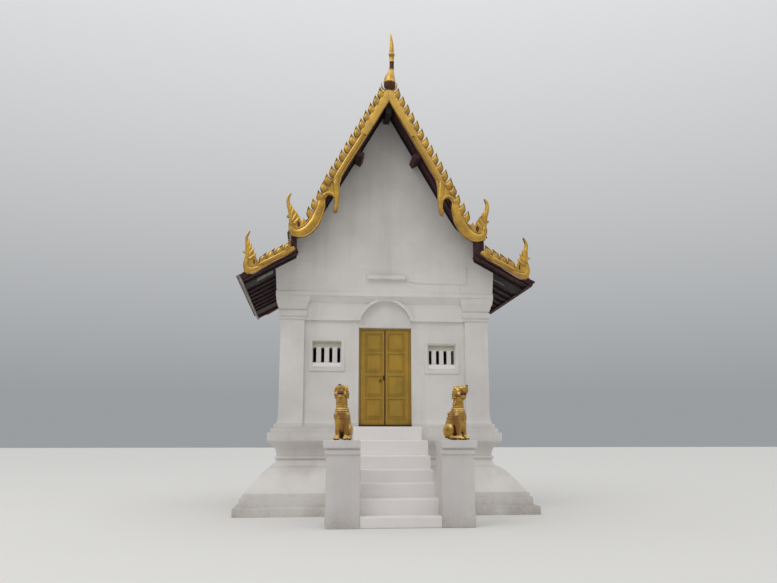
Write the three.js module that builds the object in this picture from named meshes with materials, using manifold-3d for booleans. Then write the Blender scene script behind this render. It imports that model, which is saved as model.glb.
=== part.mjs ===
// A small Buddhist ordination hall: a white plastered masonry hall on a tall moulded plinth,
// with an open stair between two piers that carry seated lions, a panelled double door under an
// arched recess, and a two-tier gable roof edged with gilded toothed bargeboards.
// Millimetres, +Z up. The origin lies at ground level under the centre of the hall, and the
// front looks along -Y.
import * as THREE from 'three';
import { mergeVertices } from 'three/addons/utils/BufferGeometryUtils.js';
import Module from 'manifold-3d';

const wasm = await Module();
wasm.setup();

// Clearance between pieces that are cut to fit each other.
const GAP = 0.3;

// Hall body: half sizes to the faces of the corner pilasters, wall thickness and levels.
const HALL_X = 2070;
const HALL_Y = 1850;
const WALL = 350;
const PILASTER = 470;
const RECESS = 55;
const FLOOR_Z = 1600;
const FRIEZE_Z = 3680;
const CORNICE_Z = 4150;
const CORNICE_OUT = 100;

// Plinth and base mouldings as [projection from the pilaster face, height].
const FOOT = [[745, 0], [745, 150], [638, 172], [638, 312], [588, 325], [588, 388], [552, 398]];
const SLOPE_TOP = [[150, 842], [95, 855]];
const SLOPE_BOW = [360, 680];
const WAIST_TORUS = { z: 1022, radius: 34, neck: 14 };
const BULGE = { out: 190, low: 1365, high: 1490 };
const LEDGE = { out: 135, low: 1502, high: 1568 };
const SKIRT = { out: 78, low: 1580, high: 1650 };
const SKIRT_TOP_Z = 1880;

// Doorway, door and windows.
const DOOR_HALF = 523;
const DOOR_TOP_Z = 3540;
const LEAF_SETBACK = 112;
const LEAF_THICK = 42;
const JAMB = 40;
const LEAF_CLEAR = 6;
const LEAF_LOW_Z = 1641;
const THRESHOLD_TOP_Z = 1634;
const HINGE_RADIUS = 9;
// Each window: half width and levels of the slotted opening, and levels of its raised surround.
const FRONT_WINDOWS = {
  left: { x: -1154, half: 270, low: 2852, high: 3146, frameLow: 2679, frameHigh: 3306 },
  right: { x: 1134, half: 260, low: 2830, high: 3103, frameLow: 2640, frameHigh: 3270 },
};
const SIDE_WINDOW = { half: 261, low: 2841, high: 3114, frameLow: 2640, frameHigh: 3270 };
const SIDE_WINDOW_Y = 640;
const SURROUND = { half: 350, out: 22, rim: 62, bed: 20 };
const GRILLE = { thick: 80, lip: 15, below: 90, above: 110, recess: 38, sill: 20, head: 12 };
const SLOT = { count: 4, width: 64 };

// Arched recess over the door.
const ARCH = { half: 500, rise: 400, depth: RECESS, rim: 58, out: 64, lean: 4 / 3 };
const DRIP = { half: 385, low: 4495, high: 4583, out: 75 };
const GABLE_FILLET = { out: 16, high: 4236 };
const DOOR_FILLET = { half: 548, low: 3552, high: 3592, out: 16 };

// Stair.
const STAIR_FRONT = 4461;
const TREAD = 280;
const STEP_TOPS = [176, 424, 655, 867, 1090, 1350];
const STAIR_HALF = 650;
const DOOR_STEP_FRONT = 2370;
const PIER_WIDTH = 530;
const PIER_DEPTH = 520;
const PIER_TOP_Z = 1360;

// Roof.
const ROOF_END = 2500;
const BOARD_THICK = 70;
const APEX_Z = 8030;
const UPPER_SOFFIT = [[0, APEX_Z], [1300, 5770], [1420, 5590], [1560, 5450], [1720, 5335], [1900, 5235]];
const UPPER_THICK = 130;
const CLERESTORY_X = 1783;
const LOWER_SOFFIT = [[CLERESTORY_X + GAP, 4900], [2840, 4318]];
const LOWER_THICK = 110;
const EAVE_WALL_X = 2190;
const PURLIN = { x: 620, width: 110, height: 130 };
const CAP_REACH = 190;
const RIDGE_BEAM = { width: 120, height: 240 };
const FOOT_BEAM = { far: 1885, low: 5032 };

const materials = {
  plaster: { color: 0xd9d4cf, roughness: 0.9, metalness: 0 },
  gold: { color: 0xc9992b, roughness: 0.45, metalness: 0 },
  door: { color: 0x9c7a26, roughness: 0.5, metalness: 0 },
  timber: { color: 0x5a2228, roughness: 0.7, metalness: 0 },
  tile: { color: 0x8f8375, roughness: 0.85, metalness: 0 },
  threshold: { color: 0x4a2c1c, roughness: 0.7, metalness: 0 },
};

const hall = new THREE.Group();

function place(name, material, geometry, position = [0, 0, 0], turn = 0) {
  const mesh = new THREE.Mesh(geometry, new THREE.MeshStandardMaterial(materials[material]));
  mesh.name = name;
  mesh.position.set(...position);
  mesh.rotation.z = turn;
  hall.add(mesh);
  return mesh;
}

// Solids for joining and cutting.
function solid(geometry) {
  const bare = geometry.clone();
  bare.deleteAttribute('normal');
  bare.deleteAttribute('uv');
  const merged = mergeVertices(bare, 1e-3);
  const index = merged.index.array;
  const corners = [];
  for (let i = 0; i < index.length; i += 3) {
    const [a, b, c] = [index[i], index[i + 1], index[i + 2]];
    if (a !== b && b !== c && c !== a) corners.push(a, b, c);
  }
  return new wasm.Manifold(new wasm.Mesh({
    numProp: 3,
    vertProperties: Float32Array.from(merged.attributes.position.array),
    triVerts: Uint32Array.from(corners),
  }));
}

function shell(manifold) {
  const mesh = manifold.getMesh();
  const geometry = new THREE.BufferGeometry();
  geometry.setAttribute('position', new THREE.BufferAttribute(mesh.vertProperties, 3));
  geometry.setIndex(new THREE.BufferAttribute(mesh.triVerts, 1));
  return geometry;
}

function join(...geometries) {
  return shell(geometries.map(solid).reduce((whole, piece) => whole.add(piece)));
}

function cut(geometry, ...tools) {
  return shell(tools.map(solid).reduce((rest, tool) => rest.subtract(tool), solid(geometry)));
}

// Basic forms.
function box(x0, x1, y0, y1, z0, z1) {
  const geometry = new THREE.BoxGeometry(Math.abs(x1 - x0), Math.abs(y1 - y0), Math.abs(z1 - z0));
  return geometry.translate((x0 + x1) / 2, (y0 + y1) / 2, (z0 + z1) / 2);
}

function shapeOf(points) {
  return new THREE.Shape(points.map(([x, y]) => new THREE.Vector2(x, y)));
}

// A flat outline in X and Z, thickened along Y between two faces.
function plate(points, y0, y1) {
  const geometry = new THREE.ExtrudeGeometry(shapeOf(points), { depth: y1 - y0, bevelEnabled: false });
  return geometry.rotateX(Math.PI / 2).translate(0, y1, 0);
}

// A wall section given as [offset outwards, height], run along X with its outer side to -Y.
function run(section, x0, x1) {
  const outline = section.map(([out, z]) => [z, out]);
  const geometry = new THREE.ExtrudeGeometry(shapeOf(outline), { depth: x1 - x0, bevelEnabled: false });
  const axes = new THREE.Matrix4().set(0, 0, 1, x0, 0, -1, 0, 0, 1, 0, 0, 0, 0, 0, 0, 1);
  return geometry.applyMatrix4(axes);
}

// A moulded block: a rectangle whose four sides move out along a [projection, height] profile.
// grow says how far each side follows it, in the order -X, +X, -Y, +Y.
function mouldedBlock(profile, x0, x1, y0, y1, grow = [1, 1, 1, 1], extra = 0) {
  const corners = [];
  for (const [out, z] of profile) {
    const side = grow.map((share) => out * share + extra);
    const [west, east, front, back] = [x0 - side[0], x1 + side[1], y0 - side[2], y1 + side[3]];
    corners.push([west, front, z], [east, front, z], [east, back, z], [west, back, z]);
  }
  const index = [0, 2, 1, 0, 3, 2];
  for (let ring = 0; ring < profile.length - 1; ring += 1) {
    for (let side = 0; side < 4; side += 1) {
      const [a, b] = [ring * 4 + side, ring * 4 + ((side + 1) % 4)];
      index.push(a, b, b + 4, a, b + 4, a + 4);
    }
  }
  const top = (profile.length - 1) * 4;
  index.push(top, top + 1, top + 2, top, top + 2, top + 3);
  const geometry = new THREE.BufferGeometry();
  geometry.setAttribute('position', new THREE.Float32BufferAttribute(corners.flat(), 3));
  geometry.setIndex(index);
  return geometry;
}

function bow(start, control, end, steps) {
  const curve = new THREE.QuadraticBezierCurve(
    new THREE.Vector2(...start), new THREE.Vector2(...control), new THREE.Vector2(...end));
  return curve.getPoints(steps).map((point) => [point.x, point.y]);
}

function mirrored(points, side) {
  return points.map(([x, z]) => [x * side, z]);
}

function halfRound(low, high, neck, radius, steps) {
  const points = [];
  const middle = (low + high) / 2;
  for (let i = 0; i <= steps; i += 1) {
    const angle = -Math.PI / 2 + (Math.PI * i) / steps;
    points.push([neck + radius * Math.cos(angle), middle + ((high - low) / 2) * Math.sin(angle)]);
  }
  return points;
}

// Height of a roof line of [x, z] points at one x.
function heightAt(points, x) {
  const i = points.findIndex((point) => point[0] >= x);
  const [[x0, z0], [x1, z1]] = [points[i - 1], points[i]];
  return z0 + ((z1 - z0) * (x - x0)) / (x1 - x0);
}

// Plinth: solid masonry courses, each a ring of mouldings around the whole hall.
const torusLow = WAIST_TORUS.z - WAIST_TORUS.radius;
const torusHigh = WAIST_TORUS.z + WAIST_TORUS.radius;
const NECK_TOP_Z = 1090;
const courses = {
  plinth_foot: FOOT,
  plinth_slope: [...bow(FOOT.at(-1), SLOPE_BOW, SLOPE_TOP[0], 6), SLOPE_TOP[1]],
  plinth_waist: [
    ...bow(SLOPE_TOP[1], [50, 880], [WAIST_TORUS.neck, torusLow], 4),
    ...halfRound(torusLow, torusHigh, WAIST_TORUS.neck, WAIST_TORUS.radius, 6).slice(1),
    [WAIST_TORUS.neck, NECK_TOP_Z],
  ],
  plinth_crown: [
    ...bow([WAIST_TORUS.neck, NECK_TOP_Z], [20, 1190], [BULGE.out * 0.55, 1260], 3),
    ...bow([BULGE.out * 0.55, 1260], [BULGE.out, 1310], [BULGE.out, BULGE.low], 3).slice(1),
    [BULGE.out, BULGE.high],
  ],
  floor_slab: [
    [LEDGE.out, BULGE.high], [LEDGE.out, LEDGE.high], [SKIRT.out, SKIRT.low], [SKIRT.out, FLOOR_Z],
  ],
};

function course(profile, extra = 0) {
  return mouldedBlock(profile, -HALL_X, HALL_X, -HALL_Y, HALL_Y, [1, 1, 1, 1], extra);
}

for (const [name, profile] of Object.entries(courses)) place(name, 'plaster', course(profile));

// Corner pilasters with base moulding and capital, made once about the post's own centre with
// the outer sides to +X and -Y, then turned to each corner.
const HALF_POST = PILASTER / 2;
const skirtProfile = [
  [SKIRT.out, FLOOR_Z], [SKIRT.out, SKIRT.high], [38, SKIRT.high + 12],
  ...bow([38, SKIRT.high + 12], [2, 1700], [0, SKIRT_TOP_Z], 4).slice(1),
];
const CAPITAL_Z = 3690;
const capitalProfile = [
  [0, CAPITAL_Z], [32, 3698], [32, 3728], [18, 3736],
  ...halfRound(3742, 3876, 20, 34, 5), [18, 3884], [40, 3896], [40, 3920],
  ...bow([48, 3930], [60, 4000], [85, 4030], 3), [CORNICE_OUT, CORNICE_Z],
];

function pilaster(extra = 0) {
  const half = HALF_POST;
  const base = mouldedBlock(skirtProfile, -half, half, -half, half, [0, 1, 1, 0], extra);
  const side = half + extra;
  const shaft = box(-side, side, -side, side, SKIRT_TOP_Z - 40, CAPITAL_Z + 60);
  const capital = mouldedBlock(capitalProfile, -half, half, -half, half, [1, 1, 1, 1], extra);
  const behindFront = box(-1000, -half - extra, -half + RECESS + extra, 1000, 0, 5000);
  const behindSide = box(-1000, half - RECESS - extra, half + extra, 1000, 0, 5000);
  return cut(join(base, shaft, capital), behindFront, behindSide);
}

const corners = [
  { name: 'pilaster_front_right', x: 1, y: -1, turn: 0 },
  { name: 'pilaster_back_right', x: 1, y: 1, turn: Math.PI / 2 },
  { name: 'pilaster_back_left', x: -1, y: 1, turn: Math.PI },
  { name: 'pilaster_front_left', x: -1, y: -1, turn: -Math.PI / 2 },
];
const pilasterCuts = [];
for (const corner of corners) {
  const centre = [corner.x * (HALL_X - HALF_POST), corner.y * (HALL_Y - HALF_POST), 0];
  place(corner.name, 'plaster', pilaster(), centre, corner.turn);
  pilasterCuts.push(pilaster(GAP).rotateZ(corner.turn).translate(...centre));
}

// Wall sections as [offset outwards from the pilaster face, height].
const panelSection = [
  [-WALL, FLOOR_Z],
  ...skirtProfile.map(([out, z]) => [out - RECESS, z]),
  [-RECESS, FRIEZE_Z], [-WALL, FRIEZE_Z],
];
const COVE_Z = 4024;
const friezeFace = [
  [0, FRIEZE_Z], [0, COVE_Z], ...bow([8, COVE_Z + 3], [44, 4078], [CORNICE_OUT, 4128], 3),
  [CORNICE_OUT, CORNICE_Z],
];
const friezeSection = [[-WALL, FRIEZE_Z], ...friezeFace, [-WALL, CORNICE_Z]];

// Front wall, split beside and over the doorway.
const WALL_END = HALL_X - PILASTER + 150;

function frontRun(section, x0, x1) {
  return run(section, x0, x1).translate(0, -HALL_Y, 0);
}

// A window about one middle: the raised surround, its sunk field, a niche that holds the
// grille, and the opening behind it through the wall.
function windowParts(middle, { half, low, high, frameLow, frameHigh }, face, inner) {
  const { out, rim, bed } = SURROUND;
  const [left, right] = [middle - SURROUND.half, middle + SURROUND.half];
  const [near, far] = [middle - half, middle + half];
  return {
    surround: box(left, right, face - out, face + bed, frameLow, frameHigh),
    cuts: [
      box(left + rim, right - rim, face - 2 * out, face + 1, frameLow + rim, frameHigh - rim / 2),
      box(near - GRILLE.lip, far + GRILLE.lip, face - 2 * out, face + GRILLE.thick + GAP,
        low - GRILLE.below, high + GRILLE.above),
      box(near, far, face, inner + 1, low, high),
    ],
  };
}

const frontFace = -HALL_Y + RECESS;
for (const [side, sign] of [['left', -1], ['right', 1]]) {
  const ends = [sign * DOOR_HALF, sign * WALL_END].sort((a, b) => a - b);
  const opening = FRONT_WINDOWS[side];
  const { surround, cuts } = windowParts(opening.x, opening, frontFace, -HALL_Y + WALL);
  const wall = join(frontRun(panelSection, ...ends), surround);
  place(`front_wall_${side}`, 'plaster', cut(wall, ...cuts, ...pilasterCuts));
}

// Masonry grille: a slab with upright slots, made about its own centre.
function grille({ half, low, high }) {
  const side = half + GRILLE.lip - GAP;
  const [foot, head] = [low - GRILLE.below + GAP, high + GRILLE.above - GAP];
  const slab = box(-side, side, GAP, GRILLE.thick, foot, head);
  const pitch = (2 * half - SLOT.width) / (SLOT.count - 1);
  const slots = [];
  for (let i = 0; i < SLOT.count; i += 1) {
    const left = -half + i * pitch;
    slots.push(box(left, left + SLOT.width, -1, GRILLE.thick + 1, low, high));
  }
  const recess = box(-half, half, -1, GRILLE.recess, low - GRILLE.sill, head - GRILLE.head);
  return cut(slab, recess, ...slots);
}

for (const [side, opening] of Object.entries(FRONT_WINDOWS)) {
  place(`window_grille_front_${side}`, 'plaster', grille(opening), [opening.x, frontFace, 0]);
}

// Over-door masonry with the frieze, the arched recess and the door head.
function archLine(half, rise) {
  const points = [];
  for (let i = 0; i <= 18; i += 1) {
    const angle = (Math.PI * i) / 18;
    points.push([half * Math.cos(angle), FRIEZE_Z + rise * Math.sin(angle) ** ARCH.lean]);
  }
  return points;
}

const lintel = box(-DOOR_HALF + GAP, DOOR_HALF - GAP, frontFace, -HALL_Y + WALL,
  DOOR_TOP_Z, FRIEZE_Z + 10);
const archCut = plate([
  [-ARCH.half, DOOR_TOP_Z], [ARCH.half, DOOR_TOP_Z], ...archLine(ARCH.half, ARCH.rise),
], -HALL_Y - WALL, -HALL_Y + ARCH.depth);
const archRim = plate(archLine(ARCH.half + ARCH.rim, ARCH.rise + ARCH.rim), -HALL_Y - ARCH.out, -HALL_Y + 20);
const friezeWall = join(frontRun(friezeSection, -WALL_END, WALL_END), lintel, archRim);
const doorFillet = [[DOOR_FILLET.half, frontFace - GAP], [DOOR_HALF - GAP, frontFace + RECESS]].map(
  ([half, back]) => box(-half, half, frontFace - DOOR_FILLET.out, back, DOOR_FILLET.low, DOOR_FILLET.high));
place('front_frieze', 'plaster', cut(join(cut(friezeWall, archCut), ...doorFillet), ...pilasterCuts));

// Back wall: the same panel and frieze with no opening.
const backTurn = new THREE.Matrix4().makeRotationZ(Math.PI);
const backCourses = [panelSection, friezeSection].map((section) => frontRun(section, -WALL_END, WALL_END));
const backRun = join(...backCourses).applyMatrix4(backTurn);
place('back_wall', 'plaster', cut(backRun, ...pilasterCuts));

// Gables: one outline under both roof tiers.
const GABLE_FOOT_X = 2155;
const eaveWallTop = [EAVE_WALL_X, heightAt(LOWER_SOFFIT, EAVE_WALL_X) - GAP];
const clerestoryFoot = [CLERESTORY_X, LOWER_SOFFIT[0][1] - GAP];
const clerestoryTop = [CLERESTORY_X, heightAt(UPPER_SOFFIT, CLERESTORY_X) - GAP];
const gableHalf = [
  [GABLE_FOOT_X, CORNICE_Z], eaveWallTop, clerestoryFoot, clerestoryTop,
  ...UPPER_SOFFIT.slice(1, -1).reverse().map(([x, z]) => [x, z - 2 * GAP]),
];
const gableOutline = [
  ...gableHalf, [0, APEX_Z - 2 * GAP], ...mirrored(gableHalf, -1).reverse(),
];

// Purlins lie square to the soffit, with their upper face 1 mm below it.
const RISE = (APEX_Z - UPPER_SOFFIT[1][1]) / UPPER_SOFFIT[1][0];
const SLOPE_ANGLE = Math.atan(RISE);

function purlin(sign, extra = 0, half = ROOF_END - GAP) {
  const { x, width, height } = PURLIN;
  const down = [Math.cos(SLOPE_ANGLE), -Math.sin(SLOPE_ANGLE)];
  const inward = [-Math.sin(SLOPE_ANGLE), -Math.cos(SLOPE_ANGLE)];
  const corner = (s, depth) => [
    x + down[0] * s + inward[0] * depth, APEX_Z - RISE * x + down[1] * s + inward[1] * depth];
  const side = width / 2 + extra;
  const outline = [
    corner(-side, 1 - extra), corner(-side, 1 + height + extra),
    corner(side, 1 + height + extra), corner(side, 1 - extra)];
  return plate(mirrored(outline, sign), -half, half);
}

function ridgeBeam(extra = 0, half = ROOF_END - GAP) {
  const side = RIDGE_BEAM.width / 2 + extra;
  const shoulder = APEX_Z - RISE * side - 2;
  const low = APEX_Z - RIDGE_BEAM.height - extra;
  const outline = [[-side, low], [side, low], [side, shoulder], [0, APEX_Z - 2], [-side, shoulder]];
  return plate(outline, -half, half);
}

const beamPockets = [purlin(-1, GAP, 3000), purlin(1, GAP, 3000), ridgeBeam(GAP, 3000)];
const gableFillet = box(-HALL_X - CORNICE_OUT, HALL_X + CORNICE_OUT,
  -HALL_Y - CORNICE_OUT - GABLE_FILLET.out, -HALL_Y, CORNICE_Z, GABLE_FILLET.high);
const gableBody = join(plate(gableOutline, -HALL_Y - CORNICE_OUT, -HALL_Y + WALL), gableFillet);
const drip = box(-DRIP.half, DRIP.half, -HALL_Y - CORNICE_OUT - DRIP.out, -HALL_Y, DRIP.low, DRIP.high);
place('front_gable', 'plaster', cut(join(gableBody, drip), ...beamPockets));
place('back_gable', 'plaster', cut(gableBody, ...beamPockets), [0, 0, 0], Math.PI);

// Side walls: panel, frieze and the upstand that carries both roof tiers.
const sideHead = [
  [HALL_X - WALL, CORNICE_Z], [HALL_X + CORNICE_OUT, CORNICE_Z], eaveWallTop, clerestoryFoot,
  clerestoryTop, [HALL_X - WALL, heightAt(UPPER_SOFFIT, HALL_X - WALL) - GAP],
].map(([x, z]) => [x - HALL_X, z]);
const SIDE_END = HALL_Y - PILASTER + 150;
const SIDE_HEAD_END = HALL_Y - WALL - GAP;

const sideWindows = [-SIDE_WINDOW_Y, SIDE_WINDOW_Y].map(
  (y) => windowParts(y, SIDE_WINDOW, RECESS, WALL));
const sideMass = join(
  run(panelSection, -SIDE_END, SIDE_END), run(friezeSection, -SIDE_END, SIDE_END),
  run(sideHead, -SIDE_HEAD_END, SIDE_HEAD_END), ...sideWindows.map((item) => item.surround));
const sideWall = cut(sideMass, ...sideWindows.flatMap((item) => item.cuts));
for (const [side, turn, sign] of [['left', -Math.PI / 2, -1], ['right', Math.PI / 2, 1]]) {
  const toSide = new THREE.Matrix4().makeRotationZ(turn).setPosition(sign * HALL_X, 0, 0);
  place(`side_wall_${side}`, 'plaster', cut(sideWall.clone().applyMatrix4(toSide), ...pilasterCuts));
  for (const [spot, y] of [['front', -SIDE_WINDOW_Y], ['back', SIDE_WINDOW_Y]]) {
    const seat = [sign * (HALL_X - RECESS), y, 0];
    place(`window_grille_${side}_${spot}`, 'plaster', grille(SIDE_WINDOW), seat, turn);
  }
}

// Door: frame, threshold and two panelled leaves on three hinges each.
const leafFront = -HALL_Y + LEAF_SETBACK;
const leafBack = leafFront + LEAF_THICK;
const hingeY = leafBack + HINGE_RADIUS + 1;
const hingeX = DOOR_HALF - JAMB - 3;
const HINGE_HEIGHTS = [1900, 2580, 3260];
const KNUCKLE = 55;
const LEAF_TOP_Z = DOOR_TOP_Z - JAMB - LEAF_CLEAR;

function knuckle(z0, z1) {
  return new THREE.CylinderGeometry(HINGE_RADIUS, HINGE_RADIUS, z1 - z0, 12)
    .rotateX(Math.PI / 2).translate(0, 0, (z0 + z1) / 2);
}

function doorFrame() {
  const half = DOOR_HALF - GAP;
  const outer = box(-half, half, leafFront - 4, leafBack, THRESHOLD_TOP_Z + GAP, DOOR_TOP_Z - GAP);
  const clear = box(-DOOR_HALF + JAMB, DOOR_HALF - JAMB, -2000, 0, 0, DOOR_TOP_Z - JAMB);
  const hinges = [];
  for (const sign of [-1, 1]) {
    for (const z of HINGE_HEIGHTS) {
      const [low, high] = [z - KNUCKLE, z - GAP / 2];
      hinges.push(knuckle(low, high).translate(sign * hingeX, hingeY, 0));
      hinges.push(box(sign * (hingeX + 2), sign * (DOOR_HALF - 8), leafBack - 2, leafBack + 6, low, high));
    }
  }
  return join(cut(outer, clear), ...hinges);
}

// One leaf about its hinge axis, reaching along the given side, with four moulded panels.
const LEAF_EDGE = 3;
const LEAF_WIDTH = hingeX - 4;
const HINGE_STILE = 86;
const SEAM_STILE = 48;
const PANELS = [[1757, 2145], [2195, 2600], [2665, 3038], [3082, 3438]];
const PANEL_FIELD = 42;

function doorLeaf(side) {
  const front = leafFront - hingeY;
  const back = leafBack - hingeY;
  const slab = box(side * LEAF_EDGE, side * LEAF_WIDTH, front, back, LEAF_LOW_Z, LEAF_TOP_Z);
  const sunk = [];
  const raised = [];
  for (const [low, high] of PANELS) {
    const [near, far] = [LEAF_EDGE + HINGE_STILE, LEAF_WIDTH - SEAM_STILE];
    sunk.push(box(side * near, side * far, front - 5, front + 10, low, high));
    raised.push(box(side * (near + PANEL_FIELD), side * (far - PANEL_FIELD), front + 4, front + 12,
      low + PANEL_FIELD, high - PANEL_FIELD));
  }
  const hinges = HINGE_HEIGHTS.flatMap((z) => [
    knuckle(z + GAP / 2, z + KNUCKLE),
    box(side * 2, side * 60, back - 2, back + 6, z + GAP / 2, z + KNUCKLE),
  ]);
  return join(cut(slab, ...sunk), ...raised, ...hinges);
}

place('door_frame', 'door', doorFrame());
place('door_threshold', 'threshold',
  box(-DOOR_HALF + GAP, DOOR_HALF - GAP, frontFace - 10, leafBack + 40, FLOOR_Z, THRESHOLD_TOP_Z));
place('door_leaf_left', 'door', doorLeaf(1), [-hingeX, hingeY, 0]);
place('door_leaf_right', 'door', doorLeaf(-1), [hingeX, hingeY, 0]);

// Stair: solid steps from the ground up, the last two cut against the plinth.
const plinthCuts = Object.values(courses).map((profile) => course(profile, GAP));
STEP_TOPS.forEach((top, i) => {
  const front = -STAIR_FRONT + i * TREAD;
  const last = i === STEP_TOPS.length - 1;
  const back = last ? -HALL_Y - 1 : front + TREAD - GAP;
  const block = box(-STAIR_HALF, STAIR_HALF, front, back, 0, top);
  place(`step_${i + 1}`, 'plaster', last ? cut(block, ...plinthCuts) : block);
});
const doorStep = box(-STAIR_HALF + 10, STAIR_HALF - 10, -DOOR_STEP_FRONT, -HALL_Y - 1,
  STEP_TOPS.at(-1), FLOOR_Z);
place('door_step', 'plaster', cut(doorStep, ...plinthCuts));

const pierProfile = [
  [14, 0], [0, 1135], [24, 1138], [24, 1212], [8, 1216], [8, 1234], [52, 1240], [56, PIER_TOP_Z],
];
const PIER_MIDDLE_X = STAIR_HALF + GAP + PIER_WIDTH / 2;
const PIER_MIDDLE_Y = -STAIR_FRONT + PIER_DEPTH / 2;
for (const [side, sign] of [['left', -1], ['right', 1]]) {
  const grow = sign < 0 ? [1, 0, 1, 1] : [0, 1, 1, 1];
  place(`stair_pier_${side}`, 'plaster', mouldedBlock(pierProfile, -PIER_WIDTH / 2, PIER_WIDTH / 2,
    -PIER_DEPTH / 2, PIER_DEPTH / 2, grow), [sign * PIER_MIDDLE_X, PIER_MIDDLE_Y, 0]);
}

// Seated lions, made facing -Y about the middle of their own base.
function ball(x, y, z, rx, ry, rz) {
  return new THREE.SphereGeometry(1, 10, 7).rotateX(Math.PI / 2).scale(rx, ry, rz).translate(x, y, z);
}

function limb(from, to, r0, r1) {
  const [start, end] = [new THREE.Vector3(...from), new THREE.Vector3(...to)];
  const along = end.clone().sub(start);
  const turn = new THREE.Quaternion()
    .setFromUnitVectors(new THREE.Vector3(0, 1, 0), along.clone().normalize());
  const middle = start.clone().add(end).multiplyScalar(0.5);
  return new THREE.CylinderGeometry(r1, r0, along.length(), 10)
    .applyQuaternion(turn).translate(...middle);
}

function lion() {
  const parts = [
    ball(0, 85, 150, 138, 155, 150), limb([0, 80, 200], [0, -35, 470], 136, 112),
    ball(0, -55, 420, 120, 112, 150), limb([0, -40, 480], [0, -52, 730], 106, 84),
    ball(0, -62, 790, 94, 105, 86), limb([0, -90, 818], [0, -192, 846], 62, 44),
    limb([0, -80, 730], [0, -165, 716], 52, 34), limb([0, -55, 840], [0, -28, 915], 36, 14),
    limb([0, 210, 60], [0, 228, 170], 26, 26), limb([0, 232, 150], [0, 150, 400], 26, 24),
  ];
  for (const side of [-1, 1]) {
    parts.push(
      ball(side * 102, 60, 150, 60, 135, 128), ball(side * 116, -75, 36, 40, 102, 36),
      limb([side * 72, -92, 390], [side * 64, -135, 30], 54, 40), ball(side * 62, -166, 36, 46, 62, 34),
      limb([side * 66, -50, 835], [side * 92, -28, 900], 28, 10),
      ball(side * 76, -30, 760, 36, 55, 70),
    );
  }
  const under = box(-300, 300, -400, 400, -200, 0);
  return cut(join(...parts), under);
}

const LEFT_LION_TURN = THREE.MathUtils.degToRad(-12);
const RIGHT_LION_TURN = THREE.MathUtils.degToRad(38);
const LION_PLACE = [PIER_MIDDLE_X, PIER_MIDDLE_Y + 10, PIER_TOP_Z + GAP];
place('lion_left', 'gold', lion(), [-LION_PLACE[0], LION_PLACE[1], LION_PLACE[2]], LEFT_LION_TURN);
place('lion_right', 'gold', lion(), LION_PLACE, RIGHT_LION_TURN);

// Roof slopes: the soffit line of each tier thickened upwards.
function offsetLine(points, distance) {
  return points.map((point, i) => {
    const before = points[Math.max(i - 1, 0)];
    const after = points[Math.min(i + 1, points.length - 1)];
    const [dx, dz] = [after[0] - before[0], after[1] - before[1]];
    const length = Math.hypot(dx, dz);
    return [point[0] - (dz / length) * distance, point[1] + (dx / length) * distance];
  });
}

function slopeSection(soffit, thick, innerX) {
  const top = offsetLine(soffit, thick);
  const lift = (soffit[0][1] - soffit[1][1]) / (soffit[1][0] - soffit[0][0]);
  top[0] = [innerX, soffit[0][1] + thick * Math.hypot(1, lift) - lift * (innerX - soffit[0][0])];
  const start = [innerX, soffit[0][1] - lift * (innerX - soffit[0][0])];
  return [start, ...soffit.slice(1), ...top.reverse()];
}

const reach = ROOF_END - GAP;
const upperSection = slopeSection(UPPER_SOFFIT, UPPER_THICK, GAP);
const lowerSection = slopeSection(LOWER_SOFFIT, LOWER_THICK, LOWER_SOFFIT[0][0]);
for (const [side, sign] of [['left', -1], ['right', 1]]) {
  place(`upper_roof_${side}`, 'tile', plate(mirrored(upperSection, sign), -reach, reach));
  place(`lower_roof_${side}`, 'tile', plate(mirrored(lowerSection, sign), -reach, reach));
  place(`purlin_${side}`, 'timber', purlin(sign));
}
place('ridge_beam', 'timber', ridgeBeam());

const ridgeTop = upperSection.at(-1)[1] + 1;
const capFoot = [CAP_REACH, ridgeTop - CAP_REACH * RISE];
const capHalf = [capFoot, [capFoot[0] + 14, capFoot[1] + 26], [42, ridgeTop + 32]];
place('ridge_cap', 'tile', plate([
  [0, ridgeTop], ...capHalf, ...mirrored(capHalf, -1).reverse(),
], -reach, reach));

// Bargeboards: outlines in the plane of the gable, right half, walked from the apex.
// Teeth are leaning blades with narrow slots between them, their tips up the slope.
const TOOTH = [
  [0, -40], [0, 6], [14, 36], [36, 66], [62, 84], [112, 94], [162, 104], [204, 117],
  [188, 86], [171, 48], [158, 8], [155, -40],
];
const TOOTH_LENGTH = 180;

function toothAt(root, along, size = 1) {
  const [ux, uz] = along;
  return TOOTH.map(([s, n]) => [root[0] + (ux * s + uz * n) * size, root[1] + (uz * s - ux * n) * size]);
}

function teethAlong(start, end, count) {
  const [dx, dz] = [start[0] - end[0], start[1] - end[1]];
  const length = Math.hypot(dx, dz);
  const along = [dx / length, dz / length];
  const pitch = length / count;
  return Array.from({ length: count }, (_, i) => toothAt(
    [end[0] + along[0] * pitch * i, end[1] + along[1] * pitch * i], along, pitch / TOOTH_LENGTH));
}

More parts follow.
